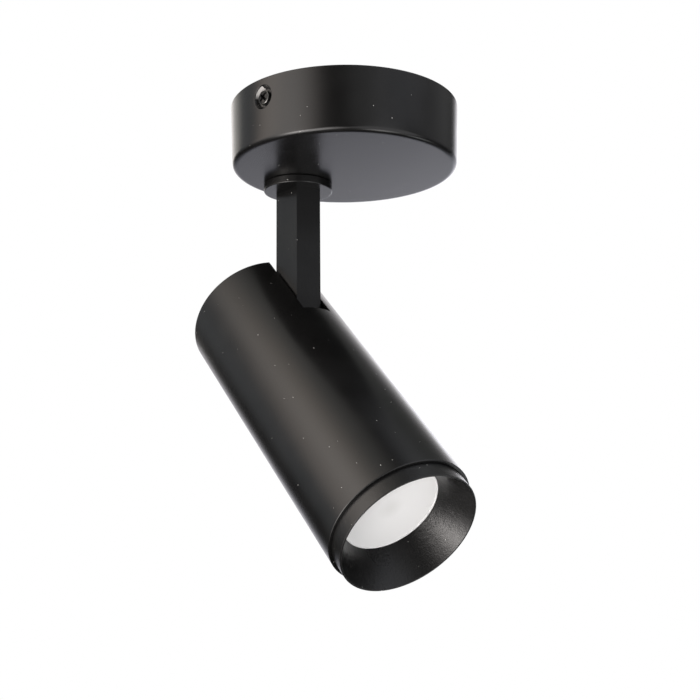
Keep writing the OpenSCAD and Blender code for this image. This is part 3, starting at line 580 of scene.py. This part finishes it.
def opal_disc():
    """Frosted white, with a soft round painted shade at the disc's middle."""
    material, tree, shader = new_material("opal", Roughness=0.45, Subsurface_Weight=0.25)
    shader.inputs["Subsurface Radius"].default_value = [LIGHT_PASSES * MM] * 3
    middle = in_head @ Vector((0, 0, disc_high.z * MM))
    spot = add(tree, "TexCoord").outputs["Object"]
    away = add(tree, "VectorMath", {0: spot, 1: middle}, operation="DISTANCE").outputs["Value"]
    share = remap(tree, away, SHADE_FROM * MM, SHADE_TO * MM, 0.0, 1.0)
    tree.links.new(blend(tree, share, PAINTED_SHADE, OPAL), shader.inputs["Base Color"])
    frost = place_group(tree, grain, Grain_mm=0.3, Peel_share=0.2).outputs[0]
    bump(tree, shader, frost, 0.004)
    return material


opal = opal_disc()
print(f"the disc is {2 * disc_high.x:.1f} mm wide and {disc_high.z - disc_low.z:.1f} mm thick")

# %% [markdown]
# ## Canopy
# The canopy is a shallow cup with a slight draft, a rounded lower edge, and a dimple on each side where a
# screw holds it to the bracket. A Boolean would cut the dimples, but it leaves slivers on a curved wall
# that catch the light. So the wall is a grid with a square hole for each dimple, and rings of the same
# number of points lead from the square to the circle, down the dimple, through the screw's hole, and out
# over the boss on the inside. Only the flat floor gets its bosses and holes with Booleans.

# %% Canopy sizes
canopy_low, canopy_high = size_in(on_ceiling, "canopy")
CANOPY_R = canopy_high.x
CANOPY_H = -canopy_low.z
DRAFT = 0.8
WALL = 2.0
EDGE_R = 2.2
RIM_R = 0.25
COLUMNS = 192
PATCH = 10
SCREW_Z = -8.0
PATCH_TOP = -0.7
DIMPLE_R = 5.0
DIMPLE_FLOOR_R = 4.2
DIMPLE_DEPTH = 2.2
DIMPLE_EDGE = 0.3
BOSS_R = 6.5
BOSS_T = 1.6
BOSS_EDGE = 0.3
HOLE_R = 1.7
floor_z = WALL - CANOPY_H


def wall_r(z, depth=0.0):
    """Radius of the canopy's wall at a height, on the outside or some depth into it."""
    return CANOPY_R - depth + DRAFT * z / CANOPY_H


side_r = wall_r(SCREW_Z)
print(f"canopy {2 * CANOPY_R:.1f} mm wide, {CANOPY_H:.1f} mm high, screws at radius {side_r:.2f}")


# %% Rings of one dimple, from the outer wall to the inner one
FLOOR_CORNER = ((0.1, 0.35), (-0.05, 0.1), (-0.3, 0.0))


def dimple_rings(square, inner_square):
    """Rings of points for the dimple on the +Y side, each starting at the square's first corner."""
    angles = [atan2(z - SCREW_Z, x) for x, y, z in square]

    def on_wall(radius, depth, sink=0.0):
        made = []
        for angle in angles:
            x, z = radius * cos(angle), SCREW_Z + radius * sin(angle)
            made.append((x, sqrt(wall_r(z, depth) ** 2 - x * x) - sink, z))
        return made

    def level(radius, y):
        return [(radius * cos(angle), y, SCREW_Z + radius * sin(angle)) for angle in angles]

    def between(ring, edge, depth, share):
        made = []
        for p, q in zip(ring, edge):
            x, z = p[0] + (q[0] - p[0]) * share, p[2] + (q[2] - p[2]) * share
            made.append((x, sqrt(wall_r(z, depth) ** 2 - x * x), z))
        return made

    outer = on_wall(DIMPLE_R + DIMPLE_EDGE, 0.0)
    rings = [between(square, outer, 0.0, share) for share in (0.35, 0.7)] + [outer]
    for k in range(1, 5):
        turn = k * pi / 8
        rings.append(on_wall(DIMPLE_R + DIMPLE_EDGE * (1 - sin(turn)), 0.0, DIMPLE_EDGE * (1 - cos(turn))))
    floor_y = side_r - DIMPLE_DEPTH
    rings += [level(DIMPLE_FLOOR_R + out, floor_y + up) for out, up in FLOOR_CORNER]
    rings += [level(HOLE_R, floor_y), level(HOLE_R, floor_y - BOSS_T)]
    rings += [level(BOSS_R - BOSS_EDGE, floor_y - BOSS_T), level(BOSS_R, floor_y - BOSS_T + BOSS_EDGE)]
    inner = on_wall(BOSS_R + 0.1, WALL)
    rings += [inner, between(inner, inner_square, WALL, 0.5)]
    return rings


# %% The canopy's net
WALL_ROWS = (-19.0, -23.0)
BOTTOM_RINGS = (46.0, 24.0, 6.0)
FLOOR_RINGS = (45.0, 24.0, 6.0)
INNER_EDGE = 0.4


def canopy_net():
    """The whole shell: two walls, rim, rounded edge, bottom, floor and both dimples."""
    net = Net()
    turn = 2 * pi / COLUMNS
    first = pi / 2 - PATCH / 2 * turn
    patch_low = 2 * SCREW_Z - PATCH_TOP
    patch_rows = [PATCH_TOP + (patch_low - PATCH_TOP) * k / PATCH for k in range(PATCH + 1)]

    def around(radius, z):
        return [(radius * cos(first + i * turn), radius * sin(first + i * turn), z) for i in range(COLUMNS)]

    def wall(depth):
        return [net.ring(around(wall_r(z, depth), z)) for z in patch_rows]

    def arc(centre_r, centre_z, radius, start, end, steps=8):
        turns = [start + (end - start) * k / steps for k in range(steps + 1)]
        return [net.ring(around(centre_r + radius * cos(a), centre_z + radius * sin(a))) for a in turns]

    outer, inner = wall(0.0), wall(WALL)
    rim = arc(CANOPY_R - WALL + RIM_R, -RIM_R, RIM_R, pi, pi / 2, 3)
    rim += arc(CANOPY_R - RIM_R, -RIM_R, RIM_R, pi / 2, 0, 3)
    low = [net.ring(around(wall_r(z), z)) for z in WALL_ROWS]
    low += arc(wall_r(-CANOPY_H) - EDGE_R, EDGE_R - CANOPY_H, EDGE_R, 0, -pi / 2)
    low += [net.ring(around(r, -CANOPY_H)) for r in BOTTOM_RINGS]
    inside = [net.ring(around(wall_r(z, WALL), z)) for z in WALL_ROWS]
    corner = wall_r(floor_z, WALL) - INNER_EDGE
    inside += arc(corner, floor_z + INNER_EDGE, INNER_EDGE, 0, -pi / 2, 3)
    inside += [net.ring(around(r, floor_z)) for r in FLOOR_RINGS]

    half = COLUMNS // 2
    for start in (PATCH, half + PATCH):
        between_dimples = [i % COLUMNS for i in range(start, start + half - PATCH + 1)]
        for rows in (outer, inner):
            stretches = [[row[i] for i in between_dimples] for row in rows]
            for a, b in zip(stretches, stretches[1:]):
                net.bridge(a, b, closed=False)
    strips = [inner[0]] + rim + [outer[0]]
    for chain in (strips, [outer[-1]] + low, [inner[-1]] + inside):
        for a, b in zip(chain, chain[1:]):
            net.bridge(a, b)
    net.fan(low[-1], (0, 0, -CANOPY_H))
    net.fan(inside[-1], (0, 0, floor_z))

    def square(rows, start):
        across = [start + i for i in range(PATCH + 1)]
        top = [rows[0][i] for i in across]
        right = [row[across[-1]] for row in rows[1:]]
        bottom = [rows[-1][i] for i in reversed(across[:-1])]
        left = [row[across[0]] for row in reversed(rows[1:-1])]
        return top + right + bottom + left

    for start, side in ((0, 1), (half, -1)):
        outer_square, inner_square = square(outer, start), square(inner, start)
        edges = [[net.points[i] for i in ring] for ring in (outer_square, inner_square)]
        turned_edges = [[(side * x, side * y, z) for x, y, z in edge] for edge in edges]
        chain = [outer_square]
        for points in dimple_rings(*turned_edges):
            chain.append(net.ring([(side * x, side * y, z) for x, y, z in points]))
        chain.append(inner_square)
        for a, b in zip(chain, chain[1:]):
            net.bridge(a, b)
    return net


# %% [markdown]
# ## The canopy's paint
# The canopy wears the same coat as arm and tube. Beside each screw's head, a stretch of the dimple's wall
# is
# painted pale: a painted highlight where the wall catches the light. The stretch could be a piece of its
# own, but a mask keeps it as thin as paint. The mask is worked out from where a point lies round the
# screw's axis, and keeps what is between the head and the dimple's edge over part of a turn.

# %% Canopy paint
HEAD_R = 3.0
# Where round the screw's axis the painted highlight runs, and how deep into the wall it reaches.
HIGHLIGHT_FROM = radians(97)
HIGHLIGHT_TO = radians(176)
HIGHLIGHT_FADE = 0.5
HIGHLIGHT_DEPTH = 3.0


def round_screw(tree):
    """Distance and angle round the side screws' axis, and the distance out along it, in millimetres."""
    spot = add(tree, "SeparateXYZ", {0: add(tree, "TexCoord").outputs["Object"]}).outputs
    side, out, height = [calculate(tree, "DIVIDE", value, MM) for value in spot]
    up = calculate(tree, "SUBTRACT", height, SCREW_Z)
    squared = calculate(tree, "MULTIPLY_ADD", up, up, calculate(tree, "POWER", side, 2.0))
    away = calculate(tree, "SQRT", squared)
    return away, calculate(tree, "ARCTAN2", up, side), calculate(tree, "ABSOLUTE", out)


def dimple_highlight_mask(tree):
    """A mask of the stretch of the dimples' walls that gets the painted highlight."""
    away, angle, out = round_screw(tree)
    mask = remap(tree, away, DIMPLE_R - 0.15, DIMPLE_R - 0.05, 1.0, 0.0)
    for value, low, high, at_low, at_high in (
        (away, HEAD_R + 0.1, HEAD_R + 0.3, 0.0, 1.0),
        (angle, HIGHLIGHT_FROM - 0.05, HIGHLIGHT_FROM, 0.0, 1.0),
        (angle, HIGHLIGHT_TO - HIGHLIGHT_FADE, HIGHLIGHT_TO, 1.0, 0.0),
        (out, side_r - HIGHLIGHT_DEPTH - 0.1, side_r - HIGHLIGHT_DEPTH, 0.0, 1.0),
    ):
        mask = calculate(tree, "MULTIPLY", mask, remap(tree, value, low, high, at_low, at_high))
    return mask


# The dimples' walls get a pale painted highlight over part of a turn.
canopy_paint = powder_coat("canopy_paint", **PAINT, highlight_mask=dimple_highlight_mask)
print(f"painted_highlight shows over {degrees(HIGHLIGHT_TO - HIGHLIGHT_FROM):.0f} degrees of each dimple")

# %% Places on the canopy's floor
EAR_INSET = 4.0
swivel_x = swivel_at.x / MM
driver_low, driver_high = size_in(on_ceiling, "driver_case")
driver_mid = (driver_low.x + driver_high.x) / 2
ear_y = driver_high.y - EAR_INSET


def at(x, y):
    """A place on the ceiling's plane, in millimetres."""
    return Matrix.Translation((x * MM, y * MM, 0))


def place_of(screw):
    """The place of an upright screw's axis."""
    low, high = size_in(on_ceiling, screw)
    middle = (low + high) / 2
    return at(middle.x, middle.y)


ears = [at(driver_mid, side * ear_y) for side in (-1, 1)]
block_place = place_of("block_screw")
earth_place = place_of("earth_screw")
print(f"the stem's hole lies {-swivel_x:.1f} mm off the middle, the driver's ears {2 * ear_y:.1f} mm apart")

# %% Build the canopy
CLEARANCE = 0.05
STEM_R = 4.0
EAR_BOSS_R = 3.5
EAR_BOSS_H = 5.0
EAR_HOLE_R = 1.55
PAD_R = 4.5
BLOCK_PAD_H = 4.0
BLOCK_HOLE_R = 1.3
EARTH_PAD_H = 6.0
EARTH_HOLE_R = 2.05

canopy = make_piece("canopy_shell", canopy_net())
bosses = [rod(EAR_BOSS_R, floor_z - 1, floor_z + EAR_BOSS_H, ear) for ear in ears]
bosses += [rod(PAD_R, floor_z - 1, floor_z + BLOCK_PAD_H, block_place)]
bosses += [rod(PAD_R, floor_z - 1, floor_z + EARTH_PAD_H, earth_place)]
combine(canopy, bosses, "UNION")
holes = [rod(STEM_R + CLEARANCE, -CANOPY_H - 1, floor_z + 1, at(swivel_x, 0))]
holes += [rod(EAR_HOLE_R, floor_z - 1, floor_z + EAR_BOSS_H + 1, ear) for ear in ears]
holes += [rod(BLOCK_HOLE_R, floor_z - 1, floor_z + BLOCK_PAD_H + 1, block_place)]
holes += [rod(EARTH_HOLE_R, floor_z - 1, floor_z + EARTH_PAD_H + 1, earth_place)]
combine(canopy, holes, "DIFFERENCE")
soften(canopy, width=0.15, segments=2)
fit(canopy, "canopy", canopy_paint)

# %% [markdown]
# ## Side screws
# A pan head screw with a cross recess sits in each dimple. It is blackened steel, uneven in colour, and
# the rim of its head is rubbed bright. The head is turned from a domed outline, and the recess is cut by
# two tapered bars, because a real cross recess narrows with depth.

# %% Blackened steel
HEAD_H = 2.0
RIM_W = 0.25
RIM_DEPTH = 0.4
WORN_STEEL = (0.24, 0.24, 0.23, 1.0)


def worn_rim(tree):
    """A mask of the rubbed rim of the side screws' heads."""
    away, _, out = round_screw(tree)
    back = side_r - DIMPLE_DEPTH + HEAD_H - RIM_DEPTH
    rim = remap(tree, away, HEAD_R - RIM_W, HEAD_R - RIM_W + 0.1, 0.0, 1.0)
    front = remap(tree, out, back - 0.05, back, 0.0, 1.0)
    return calculate(tree, "MULTIPLY", rim, front)


def blackened_steel():
    """Dark oxide with bare metal where the rim is rubbed."""
    material, tree, shader = new_material("black_screw", Specular_IOR_Level=0.3)
    cloud = place_group(tree, mottle, Size_mm=1.5, Contrast=0.8).outputs[0]
    black = blend(tree, cloud, (0.006, 0.006, 0.007, 1.0), (0.016, 0.015, 0.014, 1.0))
    rim = worn_rim(tree)
    tree.links.new(blend(tree, rim, black, WORN_STEEL), shader.inputs["Base Color"])
    tree.links.new(remap(tree, rim, 0.0, 1.0, 0.1, 1.0), shader.inputs["Metallic"])
    tree.links.new(remap(tree, cloud, 0.0, 1.0, 0.18, 0.26), shader.inputs["Roughness"])
    bump(tree, shader, cloud, 0.002)
    return material


black_screw = blackened_steel()
print(f"the screws' rims are rubbed over {RIM_W} mm")

# %% Shape of a side screw
AXIS_R = 0.01
HEAD_EDGE = 0.3
FLAT_R = 1.6
SHANK_R = 1.5
TIP_R = 1.0
TIP_L = 0.8
SCREW_LENGTH = 8.0
RECESS_SPAN = 4.2
RECESS_W = 1.1
RECESS_DEPTH = 1.5


def tapered_bar(length, width, top, depth, place):
    """A bar that narrows downwards, to cut one arm of a cross recess."""
    net = Net()
    rings = []
    for z, taper in ((top + 0.2, 1.05), (top - depth, 0.55)):
        x, y = length / 2 * taper, width / 2 * taper
        rings.append(net.ring([(-x, -y, z), (x, -y, z), (x, y, z), (-x, y, z)]))
    net.bridge(*rings)
    net.faces += [tuple(ring) for ring in rings]
    return make_piece("bar", net, place)


def side_screw(place):
    """One screw, with the underside of its head at the place given."""
    shoulder = (HEAD_R, HEAD_H - HEAD_EDGE, HEAD_EDGE)
    dome = (FLAT_R, HEAD_H, 1.0)
    outline = rounded([(AXIS_R, 0, 0), (HEAD_R, 0, 0.1), shoulder, dome, (AXIS_R, HEAD_H, 0)])
    screw = turned("screw", outline, place, steps=64)
    shank_outline = [(AXIS_R, 0.5), (SHANK_R, 0.5), (SHANK_R, TIP_L - SCREW_LENGTH)]
    shank_outline += [(TIP_R, -SCREW_LENGTH), (AXIS_R, -SCREW_LENGTH)]
    shank = turned("shank", shank_outline, place, steps=32)
    combine(screw, [shank], "UNION")
    turns = [place @ Matrix.Rotation(angle, 4, "Z") for angle in (0, pi / 2)]
    bars = [tapered_bar(RECESS_SPAN, RECESS_W, HEAD_H, RECESS_DEPTH, turn) for turn in turns]
    combine(screw, bars, "DIFFERENCE")
    return screw


# %% Both side screws
out_of_wall = Matrix.Translation((side_r * MM, 0, SCREW_Z * MM)) @ Matrix.Rotation(pi / 2, 4, "Y")
seat = Matrix.Translation((0, 0, -DIMPLE_DEPTH * MM)) @ Matrix.Rotation(pi / 4, 4, "Z")
places = [Matrix.Rotation(side * pi / 2, 4, "Z") @ out_of_wall @ seat for side in (1, -1)]
screws = side_screw(places[0])
combine(screws, [side_screw(places[1])], "UNION")
screws.name = "side_screws_pair"
soften(screws, width=0.1, segments=2)
fit(screws, "side_screws", black_screw)

# %% [markdown]
# ## Swivel collar
# A flat turned disc between canopy and arm. Its lower rim catches a thin line of light, so both rims are
# real arcs. A pocket below takes the arm's key, and a recess above holds the nylon washer.

# %% Collar
collar_low, collar_high = size_in(on_swivel, "swivel_collar")
COLLAR_R = collar_high.x
COLLAR_EDGE = 0.4
RECESS_R = 11.0
RECESS_H = 0.6
KEY_L = 11.0
KEY_W = 8.6
KEY_H = 1.2
stem_hole_r = STEM_R + CLEARANCE

collar = turned("swivel_collar_disc", rounded([
    (stem_hole_r, collar_low.z, 0),
    (COLLAR_R, collar_low.z, COLLAR_EDGE),
    (COLLAR_R, collar_high.z, COLLAR_EDGE),
    (RECESS_R, collar_high.z, 0),
    (RECESS_R, collar_high.z - RECESS_H, 0),
    (stem_hole_r, collar_high.z - RECESS_H, 0),
]), on_swivel, steps=128)
pocket_corner = (KEY_L / 2 + CLEARANCE, KEY_W / 2 + CLEARANCE, collar_low.z + KEY_H + CLEARANCE)
pocket = block((-pocket_corner[0], -pocket_corner[1], collar_low.z - 1), pocket_corner, on_swivel)
combine(collar, [pocket], "DIFFERENCE")
flat_shading(collar, sharp=True)
fit(collar, "swivel_collar", black_paint)

# %% [markdown]
# ## Arm
# The arm is a bar with a half-round lower end, painted like the tube. It starts as a flat outline that is
# given its breadth. The bores for the stem, the leads and the bolt are cut, and a Bevel rounds all edges.

# %% Arm
arm_low, arm_high = size_in(on_swivel, "arm")
ARM_HALF = arm_high.x
ARM_BREADTH = arm_high.y - arm_low.y
arm_top = collar_low.z
pivot_z = pivot_at.z / MM
LEAD_R = 2.5
BOLT_R = 2.5
STEM_BORE_L = 10.0
ROUND_STEPS = 48
lead_exit_z = pivot_z + BOLT_R + LEAD_R + 1.2

net = Net()
profile = [(ARM_HALF, arm_top), (-ARM_HALF, arm_top)]
for k in range(ROUND_STEPS + 1):
    turn = k * pi / ROUND_STEPS
    profile.append((-ARM_HALF * cos(turn), pivot_z - ARM_HALF * sin(turn)))
sides = [net.ring([(x, y, z) for x, z in profile]) for y in (-ARM_BREADTH / 2, ARM_BREADTH / 2)]
net.bridge(*sides)
net.faces += [tuple(side) for side in sides]
arm = make_piece("arm_bar", net, on_swivel)
key_block = block((-KEY_L / 2, -KEY_W / 2, arm_top - 1), (KEY_L / 2, KEY_W / 2, arm_top + KEY_H), on_swivel)
combine(arm, [key_block], "UNION")
across = Matrix.Translation((0, 0, pivot_z * MM)) @ Matrix.Rotation(pi / 2, 4, "X")
lead_out = Matrix.Translation((0, 0, lead_exit_z * MM)) @ Matrix.Rotation(-pi / 2, 4, "Y")
combine(arm, [
    rod(stem_hole_r, arm_top - STEM_BORE_L, arm_top + KEY_H + 1, on_swivel),
    rod(LEAD_R, lead_exit_z, arm_top - STEM_BORE_L / 2, on_swivel),
    rod(LEAD_R, -0.5, ARM_HALF + 1, on_swivel @ lead_out),
    rod(BOLT_R + CLEARANCE, -ARM_BREADTH, ARM_BREADTH, on_swivel @ across),
], "DIFFERENCE")
soften(arm, width=0.45, segments=3)
fit(arm, "arm", black_paint)

# %% [markdown]
# ## Housing tube
# A drawn tube with a slot at its rear end for the arm. The turned outline holds the groove for the snap
# ring and the step for the rear cap. The slot is cut straight through one wall, and a narrow bevel breaks
# the cut edges, as a file would.

# %% Tube
tube_high = size_in(in_head, "housing_tube")[1]
TUBE_R = tube_high.x
TUBE_L = tube_high.z
TUBE_WALL = 1.3
TUBE_EDGE = 0.35
STEP = 0.5
CAP_SEAT = 2.2
GROOVE_Z = 92.35
GROOVE_W = 1.2
SLOT_W = 14.3
SLOT_END = 37.9
bore_r = TUBE_R - TUBE_WALL
step_r = bore_r + STEP

tube_outline = rounded([
    (step_r, 0, 0),
    (TUBE_R, 0, TUBE_EDGE),
    (TUBE_R, TUBE_L, TUBE_EDGE),
    (bore_r, TUBE_L, 0.1),
    (bore_r, GROOVE_Z + GROOVE_W, 0),
    (step_r, GROOVE_Z + GROOVE_W, 0),
    (step_r, GROOVE_Z, 0),
    (bore_r, GROOVE_Z, 0),
    (bore_r, CAP_SEAT, 0),
    (step_r, CAP_SEAT, 0),
])
tube = turned("housing_tube_shell", tube_outline, in_head, steps=256)
slot = block((-SLOT_W / 2, 0, -1), (SLOT_W / 2, 2 * TUBE_R, SLOT_END), in_head)
combine(tube, [slot], "DIFFERENCE")
soften(tube, width=0.15, segments=2)
fit(tube, "housing_tube", black_paint)

# %% [markdown]
# ## Front ring
# The ring plugs into the tube and stands proud of it. Its deep cone hides the light from the side, and its
# thin lip is the sharpest line on the lamp. The rubber seal sits in a groove near its middle.

# %% Ring
ring_low, ring_high = size_in(in_head, "front_ring")
RING_R = ring_high.x
ring_front = ring_high.z
throat_z = ring_low.z
MOUTH_R = 29.0
THROAT_R = 21.25
CONE_WALL = 1.3
SKIRT = 2.6
SEAL_D = 1.4
SEAL_ROOM = 0.2
SEAL_CLEAR = 0.03
SEAL_INSET = 4.0
LIP = 0.2
seal_z = throat_z + SEAL_INSET
seal_top = seal_z + SEAL_D + SEAL_ROOM
slope = (MOUTH_R - THROAT_R) / (ring_front - throat_z)
cone_back_r = THROAT_R + CONE_WALL * sqrt(1 + slope * slope)
skirt_in = RING_R - SKIRT
join_z = throat_z + (skirt_in - cone_back_r) / slope
groove_r = bore_r - SEAL_CLEAR - SEAL_D

ring = turned("front_ring_cone", rounded([
    (THROAT_R, throat_z, 0.1),
    (cone_back_r, throat_z, 0.2),
    (skirt_in, join_z, 0),
    (skirt_in, throat_z, 0.2),
    (RING_R, throat_z, 0.2),
    (RING_R, seal_z, 0.1),
    (groove_r, seal_z, 0.1),
    (groove_r, seal_top, 0.1),
    (RING_R, seal_top, 0.1),
    (RING_R, ring_front, LIP),
    (MOUTH_R, ring_front, LIP),
]), in_head, steps=256)
flat_shading(ring, sharp=True)
fit(ring, "front_ring", black_ring)

# %% [markdown]
# ## Diffuser
# The opal disc lies against the back of the ring. It has a low raised bead just inside the throat, which
# the photograph shows as a bright line round the white.

# %% Disc
DISC_R = disc_high.x
DISC_EDGE = 0.5
BEAD_R = 20.95
BEAD_W = 0.3
BEAD_H = 0.25
HALFWAY_R = 12.0
disc_front = disc_high.z
bead = [(BEAD_R + BEAD_W * cos(k * pi / 8), disc_front + BEAD_H * sin(k * pi / 8)) for k in range(9)]
disc_outline = [(AXIS_R, disc_low.z), (DISC_R, disc_low.z)]
disc_outline += [(DISC_R, disc_front - DISC_EDGE), (DISC_R - DISC_EDGE, disc_front)]
disc_outline += [*bead, (HALFWAY_R, disc_front), (AXIS_R, disc_front)]
disc = turned("diffuser_disc", disc_outline, in_head, steps=192)
flat_shading(disc, sharp=True)
fit(disc, "diffuser", opal)

# %% [markdown]
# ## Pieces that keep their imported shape
# What is left is inside, and seen only from above or through the slot, or it closes the tube's rear end.
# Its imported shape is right, so it only takes the material that its slot in the record names. Where an
# edge shows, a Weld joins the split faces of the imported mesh, and a narrow bevel follows.

# %% Dress the rest
finishes = {
    "black_paint": black_paint, "black_ring": black_ring, "black_screw": black_screw,
    "zinc_steel": zinc_steel, "spring_steel": spring_steel, "nylon": nylon,
    "white_plastic": white_plastic, "board_green": board_green, "brass": brass,
    "cast_alloy": cast_alloy, "bright_alloy": bright_alloy, "grey_pad": grey_pad,
    "light_source": light_source, "opal": opal, "black_rubber": black_rubber,
}
slot_of = {subpart["node"]: subpart["material_slot"] for subpart in frame["record"]["subparts"]}
EDGES = {
    "mounting_bracket": 0.2, "driver_case": 0.3, "driver_cover": 0.4, "terminal_block": 0.3,
    "rear_cap": 0.15, "pivot_bracket": 0.2, "cap_screws": 0.08, "swivel_nut": 0.12, "driver_screws": 0.08,
    "earth_screw": 0.08, "block_screw": 0.08, "terminal_screws": 0.06, "stop_washer": 0.12,
}
TOUCHING = 0.002
for name, piece in nodes.items():
    piece.data.materials.clear()
    piece.data.materials.append(finishes[slot_of[name]])
    if name in EDGES:
        weld = piece.modifiers.new("weld", "WELD")
        weld.merge_threshold = TOUCHING * MM
        soften(piece, width=EDGES[name], segments=2)
print("dressed:", ", ".join(sorted(n for n in nodes if not nodes[n].hide_render)))

# %% [markdown]
# ## Studio
# Black paint shows little colour of its own, so the lamp is drawn by what it reflects. Three tall softboxes
# on the left make the broad warm highlight on arm and tube, and a low one lights what faces down. Three
# small ones pick out the white disc, the ring's cone and the right side. Their edges are soft, because a
# hard edge would draw a line on the paint. The rest is a dark room with a dozen round glows, most of them
# behind the lamp, which keep its edges from going black. The room is the world's colour, while the camera
# itself sees plain white. A negative side angle is to the camera's left.

# %% Softboxes
def towards(side, height):
    """Direction from the lamp, in degrees to the camera's right and above the horizon."""
    level = Matrix.Rotation(radians(side), 3, "Z") @ to_camera
    return level * cos(radians(height)) + Vector((0, 0, sin(radians(height))))


SOFT_EDGE = 0.85


def softbox(name, side, height, distance, size, roll, radiance, colour):
    """A light aimed at the lamp, brightest in its middle. White ground has a radiance of 1."""
    out = towards(side, height)
    width, length = size
    data = bpy.data.lights.new(name, "AREA")
    data.shape = "RECTANGLE"
    data.size = width
    data.size_y = length
    data.energy = radiance * pi * width * length
    data.color = colour
    data.use_nodes = True
    tree = data.node_tree
    tree.nodes.clear()
    place = add(tree, "SeparateXYZ", {0: add(tree, "NewGeometry").outputs["Parametric"]})
    fades = []
    for along in place.outputs[:2]:
        from_edge = calculate(tree, "PINGPONG", along, 0.5)
        sockets = {"Value": from_edge, 1: 0.0, 2: SOFT_EDGE / 2, 3: 0.0, 4: 1.0}
        fades.append(add(tree, "MapRange", sockets, interpolation_type="SMOOTHSTEP").outputs[0])
    glow = add(tree, "Emission", {"Strength": calculate(tree, "MULTIPLY", *fades)})
    tree.links.new(glow.outputs[0], add(tree, "OutputLight").inputs[0])
    light = bpy.data.objects.new(name, data)
    light.location = target + out * distance
    upright = out.to_track_quat("Z", "Y").to_matrix()
    light.rotation_euler = (upright @ Matrix.Rotation(radians(roll), 3, "Z")).to_euler()
    bpy.context.scene.collection.objects.link(light)


# %% Place the softboxes
LEAN = -19
softbox("tall softbox", -60, 5, 0.65, (1.0, 1.4), LEAN, radiance=1.0, colour=(1.0, 1.0, 1.0))
softbox("warm softbox", -50, 0, 0.7, (0.8, 1.5), LEAN, radiance=1.55, colour=(1.0, 0.89, 0.82))
softbox("high strip", -78, 25, 0.8, (0.6, 1.6), LEAN, radiance=1.23, colour=(1.0, 0.82, 0.68))
softbox("low softbox", -36, -39, 0.64, (1.2, 0.6), 32, radiance=4.87, colour=(1.0, 0.96, 0.94))
softbox("disc softbox", 50, -52, 0.7, (0.4, 0.4), 0, radiance=5.2, colour=(1.0, 0.99, 0.96))
softbox("cone softbox", -51, -26, 0.6, (0.34, 0.34), 0, radiance=8.5, colour=(1.0, 0.96, 0.93))
softbox("right softbox", 100, -42, 0.9, (0.5, 0.5), 0, radiance=2.2, colour=(0.97, 0.99, 1.0))
print(len(bpy.data.lights), "softboxes")

# %% World
# Each glow has its side and height, its spread in degrees, its strength and its colour.
GLOWS = [
    (22, 22, 25, 0.35, (1.0, 1.0, 1.0)),
    (45, -20, 40, 2.85, (1.0, 0.99, 1.01)),
    (160, 0, 25, 2.29, (0.96, 0.97, 1.06)),
    (-150, 25, 25, 1.26, (1.05, 1.01, 0.94)),
    (60, 50, 40, 1.23, (0.96, 0.98, 1.05)),
    (180, 15, 40, 1.19, (1.02, 0.98, 1.0)),
    (-60, 50, 40, 0.70, (1.03, 1.01, 0.96)),
    (-100, 15, 40, 0.34, (0.94, 1.0, 1.06)),
    (100, 15, 40, 0.28, (1.0, 0.99, 1.02)),
    (180, -18, 40, 0.36, (0.9, 0.94, 1.1)),
    (165, 18, 15, 0.4, (1.0, 1.0, 1.0)),
    (120, 50, 40, 0.20, (1.01, 1.03, 0.98)),
]

world = bpy.data.worlds.new("studio")
bpy.context.scene.world = world
world.use_nodes = True
tree = world.node_tree
tree.nodes.clear()
direction = add(tree, "TexCoord").outputs["Generated"]
total = (0.0, 0.0, 0.0, 1.0)
for side, height, spread, strength, colour in GLOWS:
    facing = add(tree, "VectorMath", {0: direction, 1: towards(side, height)}, operation="DOT_PRODUCT")
    sockets = {"Value": facing.outputs["Value"], 1: cos(radians(spread)), 2: 1.0, 3: 0.0, 4: strength}
    glow = add(tree, "MapRange", sockets, interpolation_type="SMOOTHSTEP").outputs[0]
    sockets = {0: glow, 6: total, 7: (*colour, 1.0)}
    total = add(tree, "Mix", sockets, data_type="RGBA", blend_type="ADD").outputs[2]
soft = add(tree, "Background", {"Color": total, "Strength": 1.0})
plain = add(tree, "Background", {"Color": (1.0, 1.0, 1.0, 1.0), "Strength": 1.0})
seen = add(tree, "LightPath").outputs["Is Camera Ray"]
both = add(tree, "MixShader", {0: seen, 1: soft.outputs[0], 2: plain.outputs[0]})
tree.links.new(both.outputs[0], add(tree, "OutputWorld").inputs[0])
bpy.context.scene.view_settings.view_transform = "Standard"
print(len(GLOWS), "glows")

# %% [markdown]
# ## Floor
# A plain white ground lies far below the lamp, for views from above. It fades out towards its rim, so
# that no rim shows. The studio's lights are set for a lamp with nothing below it, so reflections and
# bounced light don't see the ground.

# %% Lay the floor
FLOOR_Z = -1.0
FLOOR_R = 2.3
FADE_FROM = 0.4 * FLOOR_R
FADE_TO = 0.97 * FLOOR_R
net = Net()
net.faces.append(tuple(net.ring(circle(FLOOR_R / MM, FLOOR_Z / MM, 96))))
floor = make_piece("floor", net)
pale, tree, shader = new_material("pale_floor", Roughness=0.8)
spot = add(tree, "TexCoord").outputs["Object"]
away = add(tree, "VectorMath", {0: spot, 1: (0, 0, FLOOR_Z)}, operation="DISTANCE").outputs["Value"]
tree.links.new(remap(tree, away, FADE_FROM, FADE_TO, 1.0, 0.0), shader.inputs["Alpha"])
shader.inputs["Base Color"].default_value = (0.86, 0.87, 0.88, 1.0)
floor.data.materials.append(pale)
floor.visible_glossy = False
floor.visible_diffuse = False
